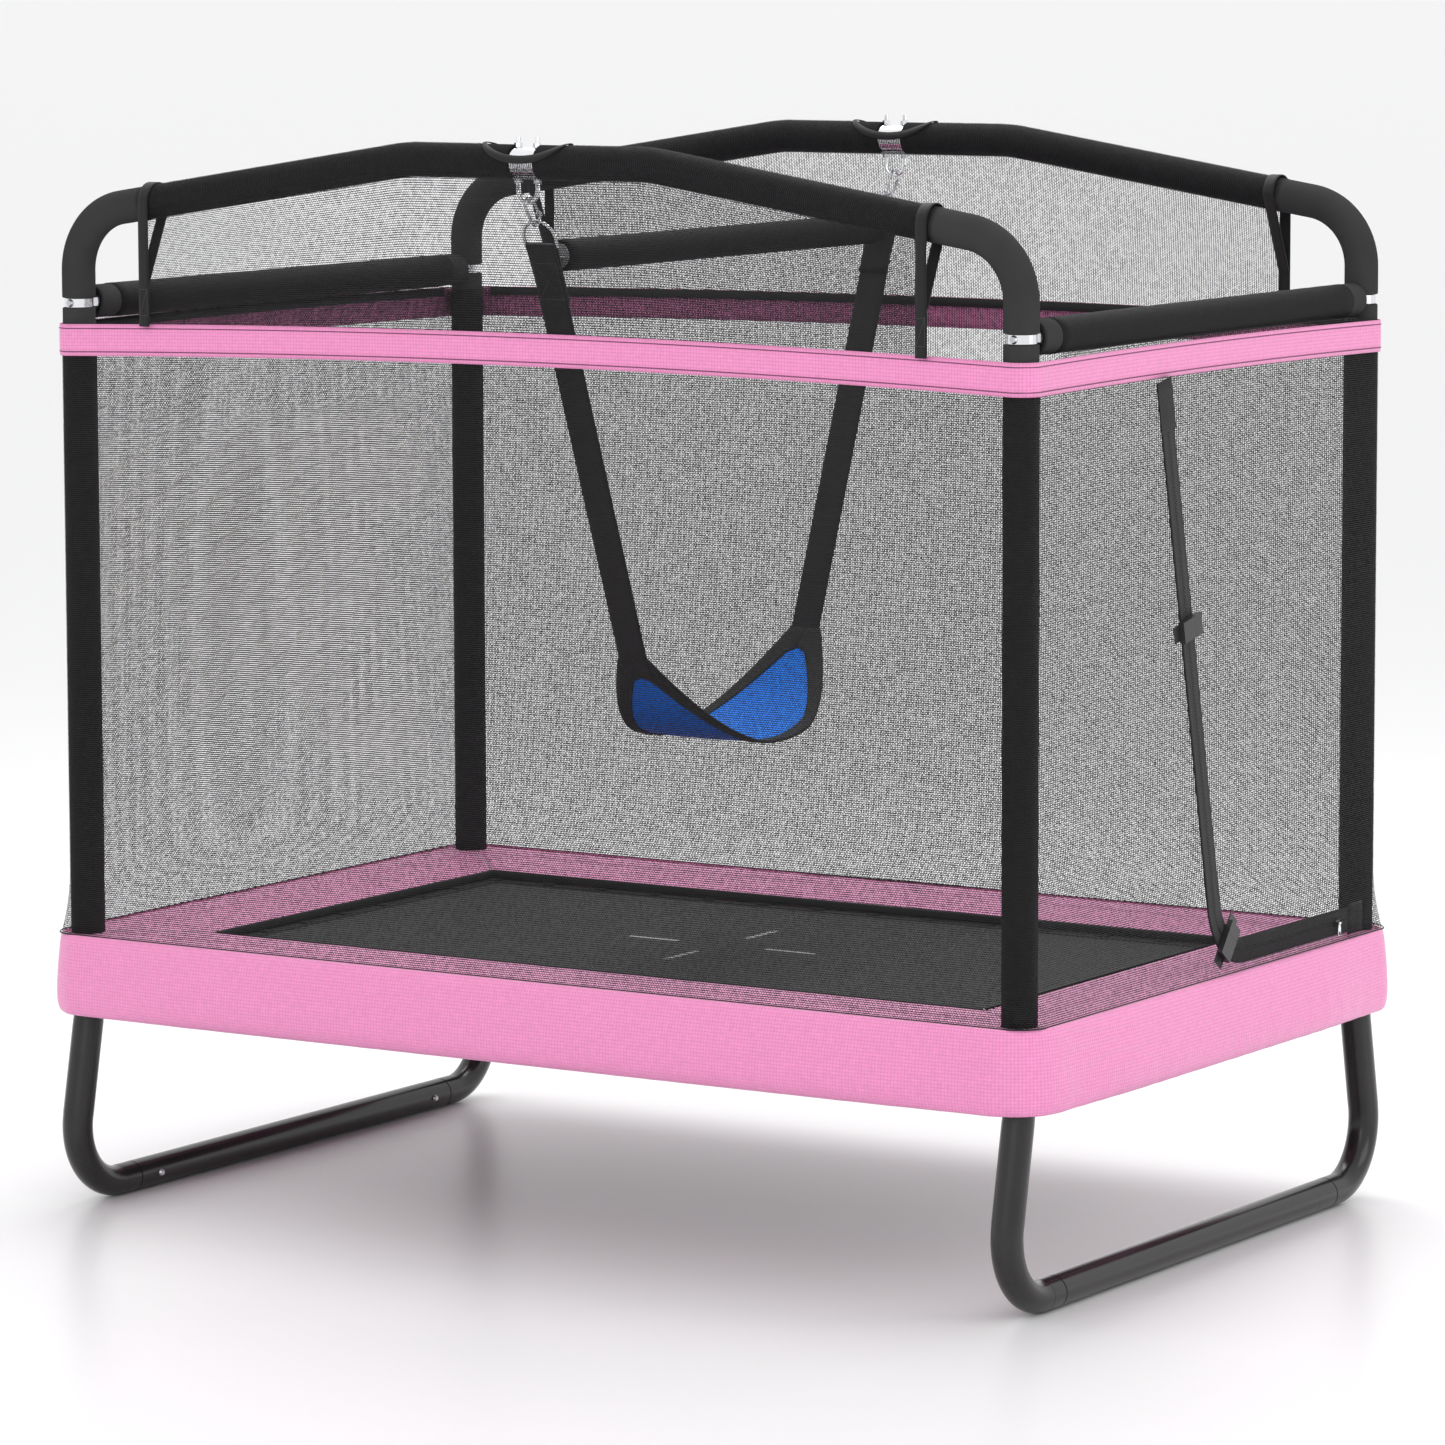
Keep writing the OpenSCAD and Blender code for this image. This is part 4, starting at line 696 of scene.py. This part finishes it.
# --------------------
# Net: black knitted polyester mesh, four sides that meet round the posts. The
# hem spreads out on to the pad, and the long sides rise to the arches.

knit, knit_in, knit_out = effect(
    "knit", [("Vector", "Vector"), ("Course", "Float", 0.0032), ("Wale", "Float", 0.0044),
             ("Slot Height", "Float", 0.74), ("Slot Length", "Float", 0.9), ("Unevenness", "Float", 0.0005)],
    [("Thread", "Float"), ("Height", "Float")])
uneven = part(knit, "TexNoise", out="Color", Vector=knit_in["Vector"], Scale=26.0, Detail=2.0)
along, across = (calc(knit, "MULTIPLY_ADD", shift, knit_in["Unevenness"], axis)
                 for shift, axis in zip(split_map(knit, uneven), split_map(knit, knit_in["Vector"])))
course = calc(knit, "DIVIDE", across, knit_in["Course"])
stagger = calc(knit, "MULTIPLY", calc(knit, "FLOORED_MODULO", calc(knit, "FLOOR", course), 2.0), 0.5)
wale = calc(knit, "ADD", calc(knit, "DIVIDE", along, knit_in["Wale"]), stagger)
cell = part(knit, "CombineXYZ", X=calc(knit, "FLOOR", wale), Y=calc(knit, "FLOOR", course))
tightness = part(knit, "TexWhiteNoise", out="Value", Vector=cell)
slot_height = calc(knit, "MULTIPLY", knit_in["Slot Height"], calc(knit, "MULTIPLY_ADD", tightness, 0.5, 0.75))


def from_middle(count, opening):
    """How far a point is from the middle of its opening, and 1 at the opening's edge."""
    away = calc(knit, "ABSOLUTE", calc(knit, "MULTIPLY_ADD", calc(knit, "FRACT", count), 2.0, -1.0))
    return calc(knit, "POWER", calc(knit, "DIVIDE", away, opening), 2.6)


outside = calc(knit, "ADD", from_middle(wale, knit_in["Slot Length"]), from_middle(course, slot_height))
feed(knit, calc(knit, "GREATER_THAN", outside, 1.0), knit_out["Thread"])
feed(knit, calc(knit, "MINIMUM", outside, 2.0), knit_out["Height"])


def netting(name, sideways=False):
    """Knitted net, with its rows of openings level, or turned on their side."""
    black = (0.015, 0.015, 0.016)
    made = Finish(name, black, 0.6, gloss=0.2)
    vector = made.cloth_map()
    if sideways:
        x, y = split_map(made.tree, vector)
        vector = part(made.tree, "CombineXYZ", X=y, Y=x)
    threads = made.place(knit, Vector=vector)
    feed(made.tree, threads["Thread"], made.shader["Alpha"])
    made.paint(made.blend(speckle(made.tree, 60.0, 3.0), shade(black, 0.7), shade(black, 1.5)))
    made.emboss(threads["Height"], 0.0004)
    return made


level_net, upright_net = netting("net_knit"), netting("net_knit_sideways", True)
NET_CLOTH = {"front": level_net, "right": level_net, "rear": upright_net, "left": upright_net}
band_low, band_high = 1333.0, 1382.0
net_out, hem_flare, hem_height = 27.3, 14.5, 100.0
crown_half, crown_low, crown_out, below_arch = 688.0, 1376.0, 22.0, 14.0
BOW = {"front": (26.0, 12.0), "rear": (26.0, 12.0), "right": (5.0, 4.0), "left": (10.0, 4.0)}


def slack(side, half, t, z):
    """How far the enclosure's cloth is drawn in and up at a point: (inward, up)."""
    middle = max(0.0, 1.0 - (t / half) ** 2)
    share = min(1.0, max(0.0, (z - pad_top) / (band_low - pad_top)))
    inward, up = BOW[side]
    return (inward * share ** 0.8 + 3.0 * math.sin(math.pi * share)) * middle, up * share ** 1.5 * middle


def net_point(side, half, t, out, z):
    inward, up = slack(side, half, t, z)
    fold = 0.8 * ripple(len(side) * 3, t / 60.0 + z / 900.0, 2.0, 9.0) * max(0.0, 1 - (t / half) ** 2)
    return turned(side, t, out - inward + fold, z + up)


for side, half in SIDES.items():
    rows = []
    for z in np.concatenate([430.4 + 90.0 * np.linspace(0, 1, 9) ** 1.3, np.linspace(560, band_high, 22)]):
        flare = hem_flare * max(0.0, 1.0 - (z - pad_top) / hem_height) ** 2.0
        raised = 7.0 if z >= band_high and side in ("left", "right") else 0.0
        rows.append([net_point(side, half, t, o, z + raised * (abs(t) < 470))
                     for t, o in round_side(half, 0.0, net_out + flare, 61, 6)])
    sewn("net_" + side + "_cloth", [rows], NET_CLOTH[side], "net", "net_" + side)
for side in ARCHES:
    rows = []
    for share in np.linspace(0, 1, 12):
        row = []
        for t in np.linspace(-crown_half, crown_half, 61):
            inward, up = slack(side, half_x, t, band_high)
            low, high = crown_low + up, arch_height(t) - below_arch
            out = (net_out - inward) * (1 - share) + crown_out * share
            row.append(turned(side, t, out - 2.0 * math.sin(math.pi * share), low + (high - low) * share))
        rows.append(row)
    crown = sewn("net_" + side + "_crown", [rows], NET_CLOTH[side], "net", "net_" + side)

HEM_SECTION = [(43.6, 429.2), (43.4, 429.7), (43.0, 430.3), (42.4, 430.8)]
hem_rows = [[turned(side, t, o + 0.8, z + 0.6) for side, half in SIDES.items()
             for t, o in round_side(half, 0.0, out, 61, 6)[:-1]] for out, z in HEM_SECTION]
sewn("net_hem", [hem_rows], webbing, "webbing", ring=True, thickness=0.9, flip=True)

# --------------------
# Pockets: tubes of close black cloth sewn to the net, pulled over the foam of
# the posts, arches and top rails. Each arch pocket has a bound window at the top.

pocket_cloth = woven("pocket_cloth", (0.013, 0.013, 0.0135), 0.7, 0.0022, 0.0016, 0.00035, sheen=0.0, gloss=0.12)


def pocket(name, line, ref, radius, seed, body="base"):
    def wobble(i, a):
        return 0.35 * ripple(seed, i * 0.6 + 2.0 * math.sin(a)) + 0.5 * max(0.0, math.cos(a - 0.8)) ** 60

    piece = sewn(name, [skin(line, ref, radius, 40, wobble)], pocket_cloth, "webbing", body=body, ring=True,
                 thickness=0.7)


for number, (name, (sx, sy)) in enumerate(POSTS.items()):
    pocket("post_pocket_" + name, post_line(sx, sy, post_pocket_ends, 22.0), (-sx, 0, 0), 26.4, 50 + number)
for number, (rail, sx) in enumerate(TOP_RAILS.items()):
    pocket("rail_pocket_" + rail, rail_line(sx, 455.0, 22.0), (-sx, 0, 0), 26.5, 60 + number)

window, pocket_radius, binding_half = 73.0, 26.5, 0.22


def window_angle(x):
    """How far from the top of the arch the pocket is cut away."""
    if abs(x) >= window:
        return 0.0
    return math.acos(min(1.0, (4.0 + 22.3 * (abs(x) / window) ** 2.2) / 26.3))


half_run = [np.linspace(706, 240, 34), np.linspace(234, 195, 6), np.linspace(185, 76, 9)]
xs = np.concatenate([*(-x for x in half_run), -window * np.cos(np.linspace(0.05, math.pi - 0.05, 25)),
                     *(x[::-1] for x in reversed(half_run))])
for arch, y in ARCHES.items():
    line = np.array([(x, y, arch_height(x)) for x in xs])
    tangent = np.gradient(line, axis=0)
    tangent /= np.linalg.norm(tangent, axis=1)[:, None]

    def at(i, angle, r):
        """A point round the arch's axis: its place along it, the angle from the top, and how far out."""
        up = np.array((-tangent[i][2], 0.0, tangent[i][0]))
        return line[i] + r * (up * math.cos(angle) + np.array((0.0, 1.0, 0.0)) * math.sin(angle))

    rows, edges = [], ([], [])
    for i, x in enumerate(xs):
        cut, radius = window_angle(x), pocket_radius + 0.3 * ripple(70, x / 60.0)
        rows.append([at(i, a, radius) for a in np.linspace(cut, 2 * math.pi - cut, 41)])
        if abs(x) <= window + 4:
            for edge, a in zip(edges, (max(cut, 0.02), 2 * math.pi - max(cut, 0.02))):
                edge.append((at(i, a - binding_half, radius + 1.0), at(i, a, radius + 1.4),
                             at(i, a + binding_half, radius + 1.0)))
    arch_pocket = sewn("arch_pocket_" + arch, [rows], level_net, "net", flip=True)
    sewn("window_binding_" + arch, list(edges), webbing, "webbing", thickness=1.1)

# --------------------
# Band: a pink stripe sewn round the top of the net at the posts' height, two
# rows of stitching near its edges, and a black tape behind its upper edge.

band_out, seam_inset = 29.4, 6.5
band_rows, seam_rows = [[] for _ in range(6)], [[], []]
for side, half in SIDES.items():
    for t, o in round_side(half, 0.0, band_out, 81, 8)[:-1]:
        inward, up = slack(side, half, t, band_high)
        for k, z in enumerate(np.linspace(band_low, band_high, 6)):
            band_rows[k].append(turned(side, t, o - inward + 0.5 * math.sin(math.pi * k / 5), z + up))
        for seam_row, z in zip(seam_rows, (band_low + seam_inset, band_high - seam_inset)):
            seam_row.append(turned(side, t, o - inward + 1.9, z + up))
band = sewn("band_cloth", [band_rows], cover, "pad_cloth", "colour_band", ring=True, thickness=1.3, flip=True)
sewn("band_binding", [[[net_point(side, half, t, 25.9, z) for t in np.linspace(-half + 32.0, half - 32.0, 61)]
                       for z in (1367.5, 1374.5, 1381.5)] for side, half in SIDES.items()],
     webbing, "webbing", thickness=0.8)
stitched("band_seams", seam_rows, plum_thread, "pad_cloth", pitch=4.6, length=4.2, radius=0.8, loop=True)

# --------------------
# Arch straps: black webbing looped over each end of an arch pocket. The outer
# leg hangs straight to the band and the inner leg slants across to join it.

strap_x, loop_radius, inner_leg, join_z = 690.0, 29.6, 27.4, 1449.0
over_z = slope_z(strap_x)
strap_path = [(loop_radius, 1383.0 + 6.0 * i) for i in range(12)]
strap_path += [(loop_radius, h) for h in np.linspace(1460, over_z, 8)]
strap_path += [(loop_radius * math.cos(a), over_z + loop_radius * math.sin(a))
               for a in np.radians(np.linspace(10, 170, 16))]
strap_path += [(-loop_radius + (loop_radius + inner_leg) * t, over_z + (join_z - over_z) * t)
               for t in np.linspace(0, 1, 10)]
strap_path += [(27.6, h) for h in np.linspace(1444, 1386, 6)]
JOIN_BOX = ((-7, 1400), (7, 1400), (7, 1440), (-7, 1440), (-7, 1400), (7, 1440))
loops, joins = [], []
for sx in (-1, 1):
    for sy in (-1, 1):
        x, y = sx * strap_x, sy * half_y
        loops.append([[(x + w, y + sy * o, h) for w in (-9.0, -3.0, 3.0, 9.0)] for o, h in strap_path])
        joins.append([(x + w, y + sy * 30.7, h) for w, h in JOIN_BOX])
sewn("arch_straps_cloth", loops, webbing, "webbing", "arch_straps", thickness=1.6, side=0.0)
stitched("arch_strap_seams", joins, dark_thread, "webbing", pitch=3.4, length=2.6, radius=0.5)

# --------------------
# Door zip: a black coil zip on woven tape, down the short side, round the bend
# and along above the pad. Its slider, pull and two buckles are moulded parts.

lean = math.radians(11.854)
zip_y, zip_z, fall_y, fall_z = -165.0, 1332.4, 167.13, 795.94
bend_y, bend_z, bend, level_run = 100.0, 557.0, 100.0, (112.0, 490.0)
zip_path = [(zip_y + fall_y * t, zip_z - fall_z * t) for t in np.linspace(0, 1, 40)]
zip_path += [(bend_y + bend * math.cos(a), bend_z + bend * math.sin(a))
             for a in np.radians(np.linspace(194, 270, 26))]
zip_path += [(t, bend_z - bend) for t in np.linspace(*level_run, 22)]
zip_line = np.array(zip_path)
way = np.gradient(zip_line, axis=0)
way /= np.linalg.norm(way, axis=1)[:, None]
beside = np.stack([way[:, 1], -way[:, 0]], axis=1)


def on_zip(offset, lift):
    return [(half_x + lift, *(spot + square * offset)) for spot, square in zip(zip_line, beside)]


tape, edge_tape = (woven(name, colour, 0.6, 0.0014, 0.0022, 0.0003, sheen=0.05, gloss=0.25) for name, colour in (
    ("zip_tape_weave", (0.026, 0.026, 0.027)), ("zip_edge_weave", (0.011, 0.011, 0.012))))
TAPE_PROFILE = [(-19.0, 28.9), (-16.6, 29.9), (-15.4, 29.6), (-6.0, 29.6), (-3.6, 30.2), (-2.6, 29.3), (2.6, 29.3),
                (3.6, 30.2), (6.0, 29.6), (15.4, 29.6), (16.6, 29.9), (19.0, 28.9)]
PIPING_PROFILE = [(15.8, 30.0), (17.0, 30.9), (18.8, 30.6), (19.4, 29.0)]
zip_cloth = sewn("zip_cloth", [[on_zip(o, lift) for o, lift in TAPE_PROFILE]], tape, "webbing", "zip_tape",
                 thickness=1.0)
zip_piping = sewn("zip_piping", [[on_zip(s * o, lift) for o, lift in PIPING_PROFILE] for s in (-1, 1)],
                  edge_tape, "webbing", thickness=0.7)

teeth, size, teeth_out = growing("zip_teeth", [
    ("Pitch", "Float", 0.0032), ("Tooth", "Vector", (0.0018, 0.0030, 0.0015)), ("Sideways", "Float", 0.0011),
    ("Nylon", "Material")])
row = rows_along(teeth, size, part(teeth, "MeshCube", Size=size["Tooth"]))
odd = calc(teeth, "MODULO", part(teeth, "InputIndex"), 2.0)
shift = calc(teeth, "MULTIPLY", calc(teeth, "MULTIPLY_ADD", odd, 2.0, -1.0), size["Sideways"])
moved = part(teeth, "TranslateInstances", Instances=row, Translation=part(teeth, "ShaderNodeCombineXYZ", Y=shift))
close_tree(teeth, moved, size["Nylon"], teeth_out)
nylon = grained("zip_nylon", (0.030, 0.030, 0.032), 0.35, 900.0, 0.00005)
coil_line = on_zip(0.0, 30.4)
grow("zip_coil", teeth, coil_line, [(i, i + 1) for i in range(len(coil_line) - 1)], "base", "black_plastic",
     Nylon=nylon.material)

patch_half, patch_length = 22.0, 78.0
top_patch = [[(half_x + 31.4 - 0.6 * abs(w), zip_y + d * math.sin(lean) + w * patch_half * math.cos(lean),
               1334.0 - d * math.cos(lean) + w * patch_half * math.sin(lean))
              for w in (-1.0, -0.9, 0.0, 0.9, 1.0)] for d in np.linspace(0.0, patch_length, 5)]
end_patch = [[(half_x + 31.0, y, z) for y in (443.0, 459.0, 475.0, 491.0)] for z in (433.0, 449.0, 465.0, 481.0)]
sewn("zip_patches", [top_patch, end_patch], edge_tape, "webbing", thickness=1.1)

dress(grained("slider_metal", (0.060, 0.060, 0.062), 0.3, 600.0, 0.00005, metallic=0.7), "zip_slider")
dress(chrome, "zip_pull")
dress(grained("black_plastic", (0.021, 0.021, 0.022), 0.34, 520.0, 0.00012, drift=0.1),
      "buckle_sockets", "buckle_plug_upper", "buckle_plug_lower")

# --------------------
# Spreader bar: a zinc plated tube in a padded black sleeve that keeps the two
# swing straps apart, with a moulded plug and a webbing tab at each end.

dress(grained("grey_plastic", (0.30, 0.30, 0.31), 0.42, 420.0, 0.00015), "spreader_ends")


def bar_line(half, step, bar_z=1505.0):
    return straight((0.0, -half, bar_z), (0.0, half, bar_z), step)


foam("spreader_padding", [bar_line(449.0, 40.0)], (1, 0, 0), dark_foam, "spreader_foam", outer=23.4, body="swing")
pocket("spreader_sleeve", bar_line(447.0, 22.0), (1, 0, 0), 24.0, 80, "swing")

# --------------------
# Swing straps: 50 mm black webbing, looped round the strap rings and sewn back
# on itself, running down to the seat and lapped under its tips.

strap_lean = math.radians(20.745)
strap_ring = np.array((494.85, 1520.15))
tip_y, tip_z, seat_z = 252.0, 879.0, 733.0


def sag(y):
    return seat_z + (tip_z - seat_z) * (abs(y) / tip_y) ** 2.3


down = np.array((-math.sin(strap_lean), -math.cos(strap_lean)))
face = np.array((math.cos(strap_lean), -math.sin(strap_lean)))
round_ring, turned_back, eye_length, strap_length = 4.6, 92.0, 60.0, 682.0
path = [strap_ring + down * d - face * 3.9 for d in np.linspace(turned_back, 12, 8)]
path += [strap_ring + round_ring * (face * math.cos(a) - down * math.sin(a))
         for a in np.radians(np.linspace(160, 20, 9))]
path += [strap_ring + down * d - face * 1.1 * min(1.0, d / eye_length) + face * 3.4 * max(0.0, 1 - d / eye_length)
         for d in np.linspace(14, strap_length, 44)]
path += [(y, sag(y) - 2.2) for y in np.linspace(tip_y - 3, 230.0, 4)]
sewn_down = [strap_ring + down * d + face * 2.4 for d in (26.0, 84.0)]
strap_half, box_half = 25.0, 21.0
swing_loops, swing_boxes = [], []
for sy in (-1, 1):
    rows = []
    for i, (oy, oz) in enumerate(path):
        cup = 1.6 * math.sin(math.pi * (i / (len(path) - 1))) ** 2
        rows.append([(strap_half * w, sy * (oy + cup * (w * w - 0.4) + 0.3 * ripple(90, i * 0.35)), oz)
                     for w in np.linspace(-1, 1, 9)])
    swing_loops.append(rows)
    swing_boxes += [[(w, sy * y, z) for w in np.linspace(-box_half, box_half, 5)] for y, z in sewn_down]
    for w in (-box_half, box_half):
        swing_boxes.append([(w, sy * y, z) for y, z in sewn_down])
        swing_boxes.append([(s * w, sy * y, z) for s, (y, z) in zip((1, -1), sewn_down)])
sewn("swing_strap_webbing", swing_loops, webbing, "webbing", "swing_straps", body="swing", thickness=2.3, side=0.0)
stitched("swing_strap_seams", swing_boxes, dark_thread, "webbing", "swing", pitch=3.6, length=2.8)

# --------------------
# Seat: a sling of royal blue coated cloth with black webbing sewn round its
# whole edge, pulled up to a tip at each strap.

seat_weave = woven("seat_weave", (0.002, 0.205, 0.86), 0.5, 0.0016, 0.0016, 0.0002, sheen=0.0, gap_shade=0.6, gloss=0.2)
edge_width, cloth_inset, cloth_tip = 24.0, 14.0, 8.0
seat_wide, tip_wide, flat_to, tip_at = 108.0, 25.0, 745.0, 882.6


def seat_half(z, inset):
    """Half width of the seat at a height, less an edge."""
    low, high = flat_to + inset / 3, tip_at - inset * 1.5
    wide, tip = seat_wide - inset, tip_wide - inset / 2
    if z <= low:
        return wide
    return 0.0 if z > high else wide + (tip - wide) * (z - low) / (high - low)


ys = np.linspace(-tip_y, tip_y, 85)
belly = [[(s * max(seat_half(sag(y), cloth_inset), cloth_tip), y,
           sag(y) + 1.6 + 2.0 * (s * s - 0.5) * (1 - (y / tip_y) ** 2) + 0.7 * ripple(101, y / 40.0 + s * 1.5))
          for s in np.linspace(-1, 1, 17)] for y in ys[3:-3]]
seat = sewn("seat_sling", [belly], seat_weave, "seat_cloth", "seat_cloth", body="swing", thickness=1.6, side=0.0)
strips, seat_lines = [], [[], [], [], []]
for s in (-1, 1):
    rows = []
    for y in ys:
        outer, inner = seat_half(sag(y), 0.0), seat_half(sag(y), edge_width)
        lift = 1.6 + 1.0 * (1 - (y / tip_y) ** 2)
        rows.append([(s * (inner + (outer - inner) * w), y, sag(y) + lift) for w in np.linspace(0, 1, 5)])
        if inner > 0:
            for k, w in enumerate((0.16, 0.84)):
                seat_lines[k + (s > 0) * 2].append((s * (inner + (outer - inner) * w), y, sag(y) + lift - 2.6))
    strips.append(rows)
seat_edge = sewn("seat_edging", strips, webbing, "webbing", "seat_binding", body="swing", thickness=4.0, side=0.0)
seat_seams = stitched("seat_seams", seat_lines, dark_thread, "webbing", "swing", pitch=4.4, length=3.2)
